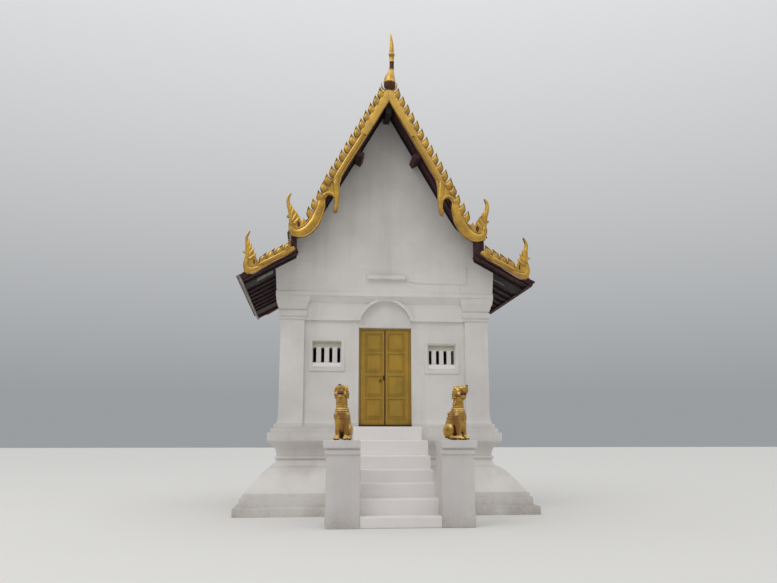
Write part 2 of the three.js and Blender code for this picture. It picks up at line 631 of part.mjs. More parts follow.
const UPPER_EDGE = { top: [0, 8410], foot: [1230, 6222] };
const boardRun = [
  [0, 8025], [930, 6420], [965, 6280], [968, 6050], [985, 5800], [1005, 5705], [1068, 5668],
  [1088, 5725], [1062, 5860], [1075, 5985], [1125, 6035], [1195, 6030], [1245, 5955],
  [1240, 5790], [1290, 5555], [1400, 5350], [1500, 5245], [1610, 5185], [1740, 5162], [1885, 5195],
  [1918, 5300], [1905, 5450], [1915, 5550], [1980, 5568], [1972, 5600], [1925, 5622],
  [1955, 5730], [1982, 5850], [1975, 5950], [1898, 6045], [1932, 5940], [1922, 5835], [1870, 5755],
  [1800, 5665], [1745, 5590], [1700, 5500], [1680, 5470], [1655, 5545], [1600, 5490], [1555, 5510],
  [1480, 5700], [1405, 5890], [1325, 6080], UPPER_EDGE.foot, UPPER_EDGE.top,
];
const upperTeeth = [
  ...teethAlong(UPPER_EDGE.top, UPPER_EDGE.foot, 13).slice(0, 12),
  toothAt([1317, 6088], [-0.6, 0.8]),
  ...[[1368, 5884], [1468, 5719], [1553, 5554]].map((root) => toothAt(root, [-0.42, 0.907], 1.05)),
];
const lowerBoard = [
  [1795, 4925], [1950, 4815], [2200, 4680], [2400, 4552], [2560, 4452], [2690, 4430], [2752, 4480],
  [2762, 4600], [2735, 4750], [2735, 4835], [2790, 4850], [2782, 4872], [2738, 4885], [2742, 5000],
  [2752, 5120], [2660, 5275], [2700, 5160], [2688, 5055], [2640, 4985], [2590, 4890], [2555, 4800],
  [2528, 4740], [2470, 4640], [2000, 4885], [1900, 4960], [1830, 4990],
];
const lowerTeeth = teethAlong([1870, 4975], [2480, 4645], 4);

function boardSolid(outline, teeth, sign) {
  const front = -ROOF_END - BOARD_THICK;
  const body = plate(mirrored(outline, sign), front, -ROOF_END);
  return join(body, ...teeth.map((points) => plate(mirrored(points, sign), front + 10, -ROOF_END - 10)));
}

const upperBoards = join(boardSolid(boardRun, upperTeeth, 1), boardSolid(boardRun, upperTeeth, -1));
const ends = [['front', 0], ['back', Math.PI]];
for (const [end, turn] of ends) {
  place(`upper_bargeboards_${end}`, 'gold', upperBoards.clone(), [0, 0, 0], turn);
  for (const [side, sign] of [['left', -1], ['right', 1]]) {
    const seenSign = end === 'front' ? sign : -sign;
    const board = boardSolid(lowerBoard, lowerTeeth, seenSign);
    place(`lower_bargeboard_${end}_${side}`, 'gold', board, [0, 0, 0], turn);
  }
}

// Beams along the clerestory under the foot of the upper tier, from board to board.
const beamNear = CLERESTORY_X + GAP;
const beamOutline = [
  [beamNear, FOOT_BEAM.low], [FOOT_BEAM.far, FOOT_BEAM.low],
  ...[FOOT_BEAM.far, beamNear].map((x) => [x, heightAt(UPPER_SOFFIT, x) - GAP]),
];
for (const [side, sign] of [['left', -1], ['right', 1]]) {
  place(`foot_beam_${side}`, 'timber', plate(mirrored(beamOutline, sign), -reach, reach));
}

// Apex finials: a turned spire seated over the bargeboards and the ridge.
const SPIRE_LEAN = { side: 45, low: 8500, high: 8840 };
const spireProfile = [
  [0, 8245], [60, 8245], [100, 8290], [122, 8370], [126, 8430], [118, 8500], [104, 8580], [84, 8650],
  [66, 8710], [58, 8790], [60, 8815], [40, 8832], [38, 8930], [40, 9000], [58, 9035], [60, 9070],
  [40, 9090], [38, 9180], [30, 9320], [18, 9430], [0, 9530],
];
const spire = new THREE.LatheGeometry(spireProfile.map(([r, z]) => new THREE.Vector2(r, z)), 12)
  .rotateX(Math.PI / 2).translate(0, -ROOF_END - BOARD_THICK / 2, 0);
const spirePoints = spire.attributes.position;
for (let i = 0; i < spirePoints.count; i += 1) {
  const lean = THREE.MathUtils.smoothstep(spirePoints.getZ(i), SPIRE_LEAN.low, SPIRE_LEAN.high);
  spirePoints.setX(i, spirePoints.getX(i) + SPIRE_LEAN.side * lean);
}
const seatHalf = [[200, heightAt([UPPER_EDGE.top, UPPER_EDGE.foot], 200) + GAP], [200, 7900]];
const seat = plate([[0, UPPER_EDGE.top[1] + GAP], ...seatHalf, ...mirrored(seatHalf, -1).reverse()],
  -ROOF_END - 200, -ROOF_END + 200);
for (const [end, turn] of ends) {
  place(`apex_finial_${end}`, 'gold', cut(spire, seat), [0, 0, 0], turn);
}

export default hall;
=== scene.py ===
# The looks of a small Buddhist ordination hall: limewashed plaster over brick, gilded roof
# boards and lions, a painted panelled door, clay tiles over red timbers. Metres, +Z up,
# the front to -Y.
import math
from functools import partial

import bmesh
import bpy
from bpy.props import FloatProperty, FloatVectorProperty, PointerProperty
from mathutils import Matrix, Vector
from mathutils.bvhtree import BVHTree


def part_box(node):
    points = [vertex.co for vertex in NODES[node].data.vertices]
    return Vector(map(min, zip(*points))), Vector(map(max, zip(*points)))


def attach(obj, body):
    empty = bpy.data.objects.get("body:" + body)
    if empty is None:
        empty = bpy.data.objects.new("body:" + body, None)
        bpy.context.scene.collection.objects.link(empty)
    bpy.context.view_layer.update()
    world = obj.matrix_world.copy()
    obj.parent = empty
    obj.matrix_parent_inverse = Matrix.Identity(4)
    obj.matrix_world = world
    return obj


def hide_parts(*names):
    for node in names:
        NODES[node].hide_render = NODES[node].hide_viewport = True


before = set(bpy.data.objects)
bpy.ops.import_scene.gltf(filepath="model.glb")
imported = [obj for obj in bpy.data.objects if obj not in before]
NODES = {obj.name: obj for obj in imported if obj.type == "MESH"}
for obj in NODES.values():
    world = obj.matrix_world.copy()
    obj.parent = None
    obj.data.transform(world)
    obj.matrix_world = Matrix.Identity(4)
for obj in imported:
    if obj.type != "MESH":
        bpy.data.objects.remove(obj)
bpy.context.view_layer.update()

bl_info = {
    "name": "Ordination Hall",
    "version": (1, 0, 0),
    "blender": (4, 5, 0),
    "location": "3D View > Sidebar > Hall",
    "description": "Builds the surfaces and ornament of a small ordination hall",
    "category": "Object",
}

MAIN_BODY = "hall"
# The seed turns the tiles askew. Vertices nearer than the weld are one, and edges that bend
# less than the smooth limit are shaded smooth.
SEED = 7
WELD = 2e-5
SMOOTH_LIMIT = math.radians(24)
HALF_TURN = Matrix.Rotation(math.pi, 4, "Z")
MIRROR = Matrix.Diagonal((-1, 1, 1, 1))


def linear(hex_colour):
    """An sRGB hex value as linear red, green, blue and alpha."""
    values = [int(hex_colour[i:i + 2], 16) / 255 for i in (1, 3, 5)]
    turned = [v / 12.92 if v <= 0.04045 else ((v + 0.055) / 1.055) ** 2.4 for v in values]
    return (*turned, 1.0)


def colour(name, hex_colour, description):
    """A colour setting with its default as an sRGB hex value."""
    return FloatVectorProperty(
        name=name, description=description, subtype="COLOR", size=4, min=0, max=1,
        default=linear(hex_colour))


def length(name, default, description):
    """A setting in metres."""
    return FloatProperty(
        name=name, description=description, default=default, min=0, unit="LENGTH", precision=4)


class MasonryProperties(bpy.types.PropertyGroup):
    lime: colour("Limewash", "#E2DFDB", "Limewash where it is fresh")
    lime_worn: colour("Worn limewash", "#C3BDBA", "Grey-pink weathering of the limewash")
    soil: colour("Soil", "#8D8176", "Splash and grime near the ground and on treads")
    arris: length("Arris", 0.007, "Rounding of the plaster's outer edges")
    step_arris: length("Step arris", 0.014, "Rounding of the edges of steps and piers")
    course: length("Brick course", 0.092, "Height of the brick courses that show through")


class GiltProperties(bpy.types.PropertyGroup):
    gold: colour("Gold", "#DFAE42", "Gold paint in the open")
    gold_dull: colour("Dull gold", "#A27C34", "Gold paint where it has dulled")
    # The primer colour is also laid as painted shade in hollows and between the teeth.
    hollow: colour("Hollows", "#57300F", "Red-brown primer in the hollows")
    arris: length("Arris", 0.008, "Rounding of the boards' outer edges")


class DoorProperties(bpy.types.PropertyGroup):
    paint: colour("Door paint", "#B58D2C", "Old gold paint on the leaves")
    # This colour is also painted shade on the strips along the seam between the leaves.
    grime_and_seam_shade: colour("Door grime", "#5B3F1B", "Brown dirt in the joints and streaks")
    arris: length("Arris", 0.0025, "Rounding of the joinery's edges")
    iron: colour("Lock iron", "#3B332C", "Dark iron of the lock")


class RoofProperties(bpy.types.PropertyGroup):
    tile: colour("Tile", "#7C6A5B", "Weathered clay tile")
    moss: colour("Moss", "#4A463C", "Dark growth on the tiles")
    timber: colour("Timber", "#43181F", "Dark red paint on rafters and beams")
    fascia: colour("Fascia", "#ABA29E", "Bare grey weathered eave board")
    # Painted shade: the soffit boards are near black, as the underside of the eaves lies in shade.
    boards: colour("Soffit boards", "#1A1613", "Smoke-dark boards over the rafters")
    tile_width: length("Tile width", 0.15, "Width of one clay tile")
    tile_length: length("Tile length", 0.26, "Length of one clay tile")
    exposure: length("Exposure", 0.115, "Visible length of a tile course")
    rafter_spacing: length("Rafter spacing", 0.415, "From rafter to rafter")
    rafter_width: length("Rafter width", 0.05, "Width of a rafter")


class LionProperties(bpy.types.PropertyGroup):
    voxel: length("Voxel", 0.009, "Grain of the joined body")
    curl: length("Curl", 0.04, "Length of one curl of the mane")
    mouth: colour("Mouth", "#5E1A1C", "Dark red paint in the mouth")
    lips: colour("Lips", "#C08E78", "Faded pink paint of the lips")
    # The bronze also serves as painted shade down the middle of each lion.
    bronze: colour("Bronze", "#85531F", "Gold paint gone brown on the lions")


class StageProperties(bpy.types.PropertyGroup):
    floor: colour("Floor", "#DCDBD8", "Plain studio floor")
    zenith: colour("Zenith", "#FFFFFF", "Soft light from above")
    horizon: colour("Horizon", "#95989B", "Dimmer light from the sides")
    floor_size: length("Floor size", 160.0, "Side of the floor")
    sky_strength: FloatProperty(name="Sky strength", description="Even light", default=1.08, min=0)
    key_power: FloatProperty(name="Key power", description="Large front light", default=860, min=0)


# Helpers for nodes and meshes.
def add_node(tree, kind, inputs=None, **settings):
    """Adds a node; an input takes a value, a socket or the first output of another node."""
    node = tree.nodes.new(kind)
    for key, value in settings.items():
        setattr(node, key, value)
    for key, value in (inputs or {}).items():
        if isinstance(value, bpy.types.Node):
            value = value.outputs[0]
        if isinstance(value, bpy.types.NodeSocket):
            tree.links.new(value, node.inputs[key])
        else:
            node.inputs[key].default_value = value
    return node


class Finish:
    """A material in the making: what adds its nodes, and the coordinates of the piece."""

    def __init__(self, name):
        self.material = bpy.data.materials.new(name)
        self.material.use_nodes = True
        self.material.node_tree.nodes.clear()
        self.add = partial(add_node, self.material.node_tree)
        self.place = self.add("ShaderNodeTexCoord").outputs["Object"]

    def mottle(self, per_metre, detail=4.0, roughness=0.55, stretch=(1, 1, 1)):
        """Noise with so many features per metre, drawn out along an axis where asked."""
        where = self.add("ShaderNodeMapping", {"Vector": self.place, "Scale": stretch})
        return self.add("ShaderNodeTexNoise", {
            "Vector": where, "Scale": per_metre, "Detail": detail, "Roughness": roughness})

    def upward(self):
        """How far the surface looks up: 1 on a floor, -1 on a soffit."""
        normal = self.add("ShaderNodeNewGeometry").outputs["Normal"]
        return self.add("ShaderNodeSeparateXYZ", {0: normal}).outputs[2]

    def share(self, *limits):
        """Product of values held between limits, as (value, low, high) and what those give."""
        product = None
        for value, low, high, *gives in limits:
            least, most = gives or (0.0, 1.0)
            part = self.add("ShaderNodeMapRange", {
                "Value": value, "From Min": low, "From Max": high, "To Min": least, "To Max": most})
            product = part if product is None else self.add(
                "ShaderNodeMath", {0: product, 1: part}, operation="MULTIPLY")
        return product

    def coat(self, base, tint, *shares):
        """Lays a colour over another, by one share or by the product of held values."""
        share = self.share(*shares) if isinstance(shares[0], tuple) else shares[0]
        return self.add("ShaderNodeMix", {0: share, 6: base, 7: tint}, data_type="RGBA").outputs[2]

    def done(self, base, roughness, reliefs=(), sockets=None):
        """The finished material; reliefs lie over one another, as (height, metres, strength)."""
        inputs = {"Base Color": base, "Roughness": roughness, **(sockets or {})}
        for height, metres, strength in reliefs:
            under = {"Normal": inputs["Normal"]} if "Normal" in inputs else {}
            inputs["Normal"] = self.add("ShaderNodeBump", {
                "Height": height, "Distance": metres, "Strength": strength, **under})
        shader = self.add("ShaderNodeBsdfPrincipled", inputs)
        self.add("ShaderNodeOutputMaterial", {"Surface": shader})
        return self.material


def as_mesh(name, bm):
    """A mesh that takes over a bmesh."""
    mesh = bpy.data.meshes.new(name)
    bm.to_mesh(mesh)
    bm.free()
    return mesh


def skin(bm, rings, capped=True):
    """A face on each end of a row of rings, and quads between neighbours, given band by band."""
    if capped:
        bm.faces.new(rings[0])
        bm.faces.new(rings[-1])
    bands = []
    for low, high in zip(rings, rings[1:]):
        turns = [(i, (i + 1) % len(low)) for i in range(len(low))]
        bands.append([bm.faces.new((low[i], low[j], high[j], high[i])) for i, j in turns])
    return bands


def small_shape(name, bm):
    """A closed shape outside the scene, for a tree to copy."""
    bmesh.ops.recalc_face_normals(bm, faces=bm.faces)
    return bpy.data.objects.new(name, as_mesh(name, bm))


def put(name, mesh, *materials):
    """Links a mesh to the scene as an object at the origin."""
    piece = bpy.data.objects.new(name, mesh)
    bpy.context.scene.collection.objects.link(piece)
    for material in materials:
        mesh.materials.append(material)
    return piece


def from_bmesh(name, bm, *materials, smooth=True, sharp=50):
    """A piece from a bmesh, shaded smooth except over edges sharper than so many degrees."""
    mesh = as_mesh(name, bm)
    if smooth:
        mesh.shade_smooth()
        mesh.set_sharp_from_angle(angle=math.radians(sharp))
    return put(name, mesh, *materials)


def settle(piece):
    """Applies a piece's modifiers and leaves it a plain mesh with its normals outward."""
    graph = bpy.context.evaluated_depsgraph_get()
    mesh = bpy.data.meshes.new_from_object(piece.evaluated_get(graph), depsgraph=graph)
    piece.modifiers.clear()
    bm = bmesh.new()
    bm.from_mesh(mesh)
    bmesh.ops.remove_doubles(bm, verts=bm.verts, dist=1e-6)
    bmesh.ops.recalc_face_normals(bm, faces=bm.faces)
    bm.to_mesh(mesh)
    bm.free()
    old, piece.data = piece.data, mesh
    bpy.data.meshes.remove(old)
    mesh.name = piece.name


def joined(name, pieces):
    """One object from several plain meshes."""
    bm = bmesh.new()
    materials = []
    for piece in pieces:
        start = len(bm.faces)
        bm.from_mesh(piece.data)
        bm.faces.ensure_lookup_table()
        materials += [item for item in piece.data.materials if item not in materials]
        slots = [materials.index(item) for item in piece.data.materials]
        for face in bm.faces[start:]:
            face.material_index = slots[face.material_index]
    mesh = as_mesh(name, bm)
    for piece in pieces:
        bpy.data.objects.remove(piece)
    return put(name, mesh, *materials)


def hand_over(piece, slot, *nodes, body=MAIN_BODY):
    """Says which body carries a piece and the nodes it stands for; its material slot is not used."""
    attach(piece, body)
    if nodes:
        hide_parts(*nodes)


# Rules of what repeats or follows a path, and the values that they keep at their points.
KEPT_VALUES = ("wide", "down", "odd", "slot")


def new_tree(name, **sockets):
    """A geometry node tree with named inputs: what adds its nodes, and its input sockets."""
    tree = bpy.data.node_groups.new(name, "GeometryNodeTree")
    for label, kind in {"Geometry": "Geometry", **sockets, "Material": "Material"}.items():
        tree.interface.new_socket(label, in_out="INPUT", socket_type="NodeSocket" + kind)
    tree.interface.new_socket("Geometry", in_out="OUTPUT", socket_type="NodeSocketGeometry")
    add = partial(add_node, tree)
    return add, add("NodeGroupInput").outputs


def close_tree(add, get, copies):
    """Ends a tree: what it made is real and painted."""
    whole = add("GeometryNodeRealizeInstances", {"Geometry": copies})
    painted = add("GeometryNodeSetMaterial", {"Geometry": whole, "Material": get["Material"]})
    return add("NodeGroupOutput", {0: painted}).id_data


def grow(name, tree, values, mesh, sharp=50):
    """Runs a node tree on a mesh and keeps the result as a plain mesh."""
    piece = put(name, mesh)
    modifier = piece.modifiers.new("Rule", "NODES")
    modifier.node_group = tree
    for item in tree.interface.items_tree:
        if item.in_out == "INPUT" and item.name in values:
            modifier[item.identifier] = values[item.name]
    settle(piece)
    for kept in KEPT_VALUES:
        if kept in piece.data.attributes:
            piece.data.attributes.remove(piece.data.attributes[kept])
    piece.data.shade_smooth()
    piece.data.set_sharp_from_angle(angle=math.radians(sharp))
    return piece


def path_mesh(name, paths):
    """Polylines as a mesh; a point is (x, y, z), or has a width too, which is kept."""
    mesh = bpy.data.meshes.new(name)
    points = [(*point, 1.0)[:4] for path in paths for point in path]
    edges, start = [], 0
    for path in paths:
        edges += [(start + i, start + i + 1) for i in range(len(path) - 1)]
        start += len(path)
    mesh.from_pydata([point[:3] for point in points], edges, [])
    layer = mesh.attributes.new("wide", "FLOAT", "POINT")
    layer.data.foreach_set("value", [point[3] for point in points])
    return mesh


def profile_object(name, points):
    """A closed outline to be swept, as (across the path, toward the side it faces)."""
    count = len(points)
    mesh = bpy.data.meshes.new(name)
    ring = [(i, (i + 1) % count) for i in range(count)]
    mesh.from_pydata([(facing, -across, 0) for across, facing in points], ring, [])
    return bpy.data.objects.new(name, mesh)


def sweep_tree():
    """Sweeps an outline along smooth paths, scaled by the width kept at each point."""
    add, get = new_tree("Sweep along paths", Profile="Object", Step="Float", Facing="Vector")
    path = add("GeometryNodeMeshToCurve", {"Mesh": get["Geometry"]})
    path = add("GeometryNodeCurveSplineType", {"Curve": path}, spline_type="CATMULL_ROM")
    path = add("GeometryNodeResampleCurve", {"Curve": path, "Length": get["Step"]}, mode="LENGTH")
    path = add("GeometryNodeSetCurveNormal", {"Curve": path, "Normal": get["Facing"]}, mode="FREE")
    outline = add("GeometryNodeObjectInfo", {"Object": get["Profile"]}).outputs["Geometry"]
    outline = add("GeometryNodeMeshToCurve", {"Mesh": outline})
    wide = add("GeometryNodeInputNamedAttribute", {"Name": "wide"}, data_type="FLOAT")
    strip = add("GeometryNodeCurveToMesh", {
        "Curve": path, "Profile Curve": outline, "Scale": wide, "Fill Caps": True})
    return close_tree(add, get, strip)


def along_tree():
    """Sets copies of a small shape on paths, at each point or evenly spaced by a step."""
    add, get = new_tree("Copies along paths", Shape="Object", Step="Float", Facing="Vector")
    path = add("GeometryNodeMeshToCurve", {"Mesh": get["Geometry"]})
    spaced = add("GeometryNodeResampleCurve", {"Curve": path, "Length": get["Step"]}, mode="LENGTH")
    even = add("FunctionNodeCompare", {0: get["Step"], 1: 0.0},
               data_type="FLOAT", operation="GREATER_THAN")
    path = add("GeometryNodeSwitch", {"Switch": even, "False": path, "True": spaced},
               input_type="GEOMETRY")
    turn = add("FunctionNodeAxesToRotation", {
        "Primary Axis": add("GeometryNodeInputTangent"), "Secondary Axis": get["Facing"],
    }, primary_axis="X", secondary_axis="Z")
    shape = add("GeometryNodeObjectInfo", {"Object": get["Shape"]}).outputs["Geometry"]
    wide = add("GeometryNodeInputNamedAttribute", {"Name": "wide"}, data_type="FLOAT")
    copies = add("GeometryNodeInstanceOnPoints", {
        "Points": path, "Instance": shape, "Rotation": turn, "Scale": wide})
    return close_tree(add, get, copies)


def tile_tree():
    """Lays staggered courses of tiles down a slope, each tile a little askew."""
    add, get = new_tree("Tile courses", Tile="Object", Exposure="Float", Width="Float", Count="Int",
                        Start="Float", Tilt="Float", Seed="Int")
    index = add("GeometryNodeInputIndex")
    odd, slot = (add("GeometryNodeInputNamedAttribute", {"Name": name}, data_type="FLOAT")
                 for name in ("odd", "slot"))
    slope = add("GeometryNodeMeshToCurve", {"Mesh": get["Geometry"]})
    slope = add("GeometryNodeResampleCurve", {"Curve": slope, "Length": get["Exposure"]}, mode="LENGTH")
    slope = add("GeometryNodeStoreNamedAttribute", {
        "Geometry": slope, "Name": "down", "Value": add("GeometryNodeInputTangent"),
    }, data_type="FLOAT_VECTOR")
    turns = add("ShaderNodeMath", {0: index, 1: 2.0}, operation="MODULO")
    slope = add("GeometryNodeStoreNamedAttribute", {
        "Geometry": slope, "Name": "odd", "Value": turns}, data_type="FLOAT")
    row = add("GeometryNodeMeshLine", {
        "Count": add("ShaderNodeMath", {0: get["Count"], 1: 1.0}, operation="ADD"),
        "Offset": add("ShaderNodeCombineXYZ", {"Y": get["Width"]})}, mode="OFFSET")
    row = add("GeometryNodeStoreNamedAttribute", {
        "Geometry": row, "Name": "slot", "Value": index}, data_type="FLOAT")
    places = add("GeometryNodeInstanceOnPoints", {"Points": slope, "Instance": row})
    places = add("GeometryNodeRealizeInstances", {"Geometry": places})

    # Even courses start with a whole tile, odd ones have a half tile at each end.
    middle = add("ShaderNodeMath", {0: slot, 1: 0.5}, operation="ADD")
    middle = add("ShaderNodeMath", {0: odd, 1: -0.5, 2: middle}, operation="MULTIPLY_ADD")
    last = add("ShaderNodeMath", {0: get["Count"], 1: 0.25}, operation="SUBTRACT")
    inside = add("ShaderNodeClamp", {"Value": middle, "Min": 0.25, "Max": last})
    moved = add("ShaderNodeMath", {0: inside, 1: slot}, operation="SUBTRACT")
    moved = add("ShaderNodeMath", {0: moved, 1: get["Width"], 2: get["Start"]}, operation="MULTIPLY_ADD")
    places = add("GeometryNodeSetPosition", {
        "Geometry": places, "Offset": add("ShaderNodeCombineXYZ", {"Y": moved})})
    entire = add("ShaderNodeMath", {0: inside, 1: middle, 2: 0.1}, operation="COMPARE")
    wanted = add("ShaderNodeMath", {0: entire, 1: odd}, operation="MAXIMUM")
    share = add("ShaderNodeMath", {0: entire, 1: 0.5, 2: 0.5}, operation="MULTIPLY_ADD")

    down = add("GeometryNodeInputNamedAttribute", {"Name": "down"}, data_type="FLOAT_VECTOR")
    lay = add("FunctionNodeAxesToRotation", {"Primary Axis": down, "Secondary Axis": (0, 1, 0)},
              primary_axis="X", secondary_axis="Y")
    askew = add("FunctionNodeRandomValue", {
        "Min": (-0.006, -0.008, -0.014), "Max": (0.006, 0.008, 0.014), "Seed": get["Seed"],
    }, data_type="FLOAT_VECTOR")
    tilt = add("ShaderNodeCombineXYZ", {"Y": get["Tilt"]})
    askew = add("ShaderNodeVectorMath", {0: askew, 1: tilt}, operation="ADD")
    lay = add("FunctionNodeRotateRotation", {"Rotation": lay, "Rotate By": askew},
              rotation_space="LOCAL")
    tile = add("GeometryNodeObjectInfo", {"Object": get["Tile"]}).outputs["Geometry"]
    tiles = add("GeometryNodeInstanceOnPoints", {
        "Points": places, "Selection": wanted, "Instance": tile, "Rotation": lay,
        "Scale": add("ShaderNodeCombineXYZ", {"X": 1.0, "Y": share, "Z": 1.0})})
    return close_tree(add, get, tiles)


def on_body_tree():
    """Sets small shapes on a body where points shot level toward its axis meet it."""
    add, get = new_tree("Shapes on a body", Shape="Object", Body="Object", Axis="Vector")
    body = add("GeometryNodeObjectInfo", {"Object": get["Body"]}).outputs["Geometry"]
    inward = add("ShaderNodeVectorMath", {
        0: get["Axis"], 1: add("GeometryNodeInputPosition")}, operation="SUBTRACT")
    inward = add("ShaderNodeVectorMath", {0: inward, 1: (1, 1, 0)}, operation="MULTIPLY")
    shot = add("GeometryNodeRaycast", {
        "Target Geometry": body, "Ray Direction": inward, "Ray Length": 0.4}).outputs
    points = add("GeometryNodeMeshToPoints", {"Mesh": get["Geometry"]})
    points = add("GeometryNodeStoreNamedAttribute", {
        "Geometry": points, "Name": "down", "Value": shot["Hit Normal"]}, data_type="FLOAT_VECTOR")
    points = add("GeometryNodeSetPosition", {"Geometry": points, "Position": shot["Hit Position"]})
    outward = add("GeometryNodeInputNamedAttribute", {"Name": "down"}, data_type="FLOAT_VECTOR")
    turn = add("FunctionNodeAxesToRotation", {
        "Primary Axis": outward, "Secondary Axis": (0, 0, -1)}, primary_axis="Z", secondary_axis="X")
    shape = add("GeometryNodeObjectInfo", {"Object": get["Shape"]}).outputs["Geometry"]
    copies = add("GeometryNodeInstanceOnPoints", {
        "Points": points, "Instance": shape, "Rotation": turn})
    return close_tree(add, get, copies)


def turned(piece, matrix, name):
    """A copy of a piece moved by a matrix, its place kept in the mesh."""
    mesh = piece.data.copy()
    mesh.transform(matrix)
    if matrix.determinant() < 0:
        mesh.flip_normals()
    return put(name, mesh)


# Soft arrises on copies of the frame's solids. Edges that meet a neighbour stay square, so
# that pieces which touch show no groove between them.
SHELLS = {}


def shell_of(node):
    """The surface of a frame solid, ready for searches."""
    if node not in SHELLS:
        bm = bmesh.new()
        bm.from_mesh(NODES[node].data)
        SHELLS[node] = BVHTree.FromBMesh(bm)
        bm.free()
    return SHELLS[node]


def neighbours(node, reach=0.003):
    """Surfaces of the solids that lie within reach of this one."""
    low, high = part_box(node)
    found = []
    for other in NODES:
        other_low, other_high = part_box(other)
        apart = any(low[i] - reach > other_high[i] or other_low[i] - reach > high[i] for i in range(3))
        if other != node and not apart:
            found.append(shell_of(other))
    return found


def is_free(edge, shells, reach=0.0015):
    """Whether an edge touches no neighbour."""
    first, second = (vert.co for vert in edge.verts)
    for share in (0.3, 0.5, 0.7):
        point = first.lerp(second, share)
        if any(shell.find_nearest(point, reach)[0] is not None for shell in shells):
            return False
    return True


def worn_copy(node, name, width, material, sharp=42, segments=2):
    """A copy of a frame solid whose free arrises are rounded."""
    bm = bmesh.new()
    bm.from_mesh(NODES[node].data)
    bmesh.ops.remove_doubles(bm, verts=bm.verts, dist=WELD)
    bmesh.ops.dissolve_limit(
        bm, angle_limit=math.radians(0.5), verts=bm.verts[:], edges=bm.edges[:])
    shells = neighbours(node)
    limit = math.radians(sharp)
    arrises = [
        edge for edge in bm.edges
        if edge.is_manifold and abs(edge.calc_face_angle(0)) > limit and is_free(edge, shells)]
    rounded = set()
    if arrises:
        made = bmesh.ops.bevel(
            bm, geom=arrises, offset=width, offset_type="OFFSET", segments=segments,
            profile=0.5, affect="EDGES", clamp_overlap=True)
        rounded = set(made["faces"])
    for edge in bm.edges:
        curved = [face in rounded for face in edge.link_faces]
        edge.smooth = all(curved) or not any(curved) and edge.calc_face_angle(0) < SMOOTH_LIMIT
    for face in bm.faces:
        face.smooth = True
    bmesh.ops.triangulate(bm, faces=[face for face in bm.faces if len(face.verts) > 4])
    return from_bmesh(name, bm, material, smooth=False)


# Materials.
def limewash(settings, name="limewashed_plaster", wash=None, slots=None):
    """Lime on plaster over brick: dead matt, mottled, streaked by rain, soiled near the ground,
    greyed higher up by painted shade under the roof overhang.

    A wash is a last coat of another tone, as (colour, share). Slots are the heights between
    which a grille is open: over them a mottled olive band is painted shade, under them whiter
    lime is painted light on the sill."""
    lime = Finish(name)
    height = lime.add("ShaderNodeSeparateXYZ", {0: lime.place}).outputs[2]
    # Clouds of 1 m, rain streaks 0.3 m apart and specks of 40 mm.
    cloud, speck = lime.mottle(0.9, 5.0), lime.mottle(26.0, 6.0, 0.7)
    streak = lime.mottle(3.2, 3.0, 0.6, (1, 1, 0.09))
    soil = settings.soil[:]
    worn = lime.add("ShaderNodeMath", {
        0: lime.share((cloud, 0.42, 0.72, 0.0, 0.55)),
        1: lime.share((streak, 0.5, 0.8, 0.0, 0.35))}, operation="ADD")
    base = lime.coat(settings.lime[:], settings.lime_worn[:], worn)
    base = lime.coat(base, soil, (speck, 0.62, 0.8, 0.0, 0.25))
    base = lime.coat(base, soil, (height, 0.02, 0.45, 0.75, 0.0),
                     (cloud, 0.35, 0.65, 0.25, 1.0), (speck, 0.3, 0.7, 0.35, 1.0))
    # Painted shade: from 4.6 m up the lime greys, broken by the streaks, as under the roof overhang.
    base = lime.coat(base, linear("#8A8581"), (height, 4.6, 7.6, 0.0, 0.42),
                     (streak, 0.25, 0.7, 0.7, 1.0))
    share = 0.0
    if wash:
        tint, share = wash
        base = lime.coat(base, linear(tint), share)
    if slots:
        low, high = slots
        # Painted shade in the head of the recess: a mottled olive band just over the slots.
        base = lime.coat(base, linear("#A19E86"), (height, high - 0.004, high + 0.018, 0.0, 0.7),
                         (speck, 0.2, 0.6, 0.6, 1.0))
        # Painted light on the sill: whiter lime below the slots.
        base = lime.coat(base, linear("#F4F2F0"), (height, low, low - 0.02, 0.0, 0.8))
    base = lime.coat(base, soil, (lime.upward(), 0.6, 0.95),
                     (cloud, 0.3, 0.7, 0.12 * (1 - share), 0.42 * (1 - share)))
    # Trowel waves of 0.4 m, brick courses under the thin coat, then brush marks of 30 mm.
    course = lime.add("ShaderNodeMath", {0: height, 1: settings.course}, operation="DIVIDE")
    course = lime.add("ShaderNodeMath", {0: course}, operation="FRACT")
    bricks = lime.share((course, 0.82, 0.93), (course, 1.0, 0.96), (lime.mottle(1.6, 3.0), 0.4, 0.62),
                        (height, 3.4, 4.6, 0.15, 1.0))
    return lime.done(base, lime.share((speck, 0.3, 0.8, 0.82, 0.97)), (
        (lime.mottle(2.4, 2.0), 0.012, 0.5), (bricks, -0.0035, 0.8),
        (lime.mottle(34.0, 7.0, 0.7, (1, 1, 0.6)), 0.0022, 0.55)), {"IOR": 1.45})


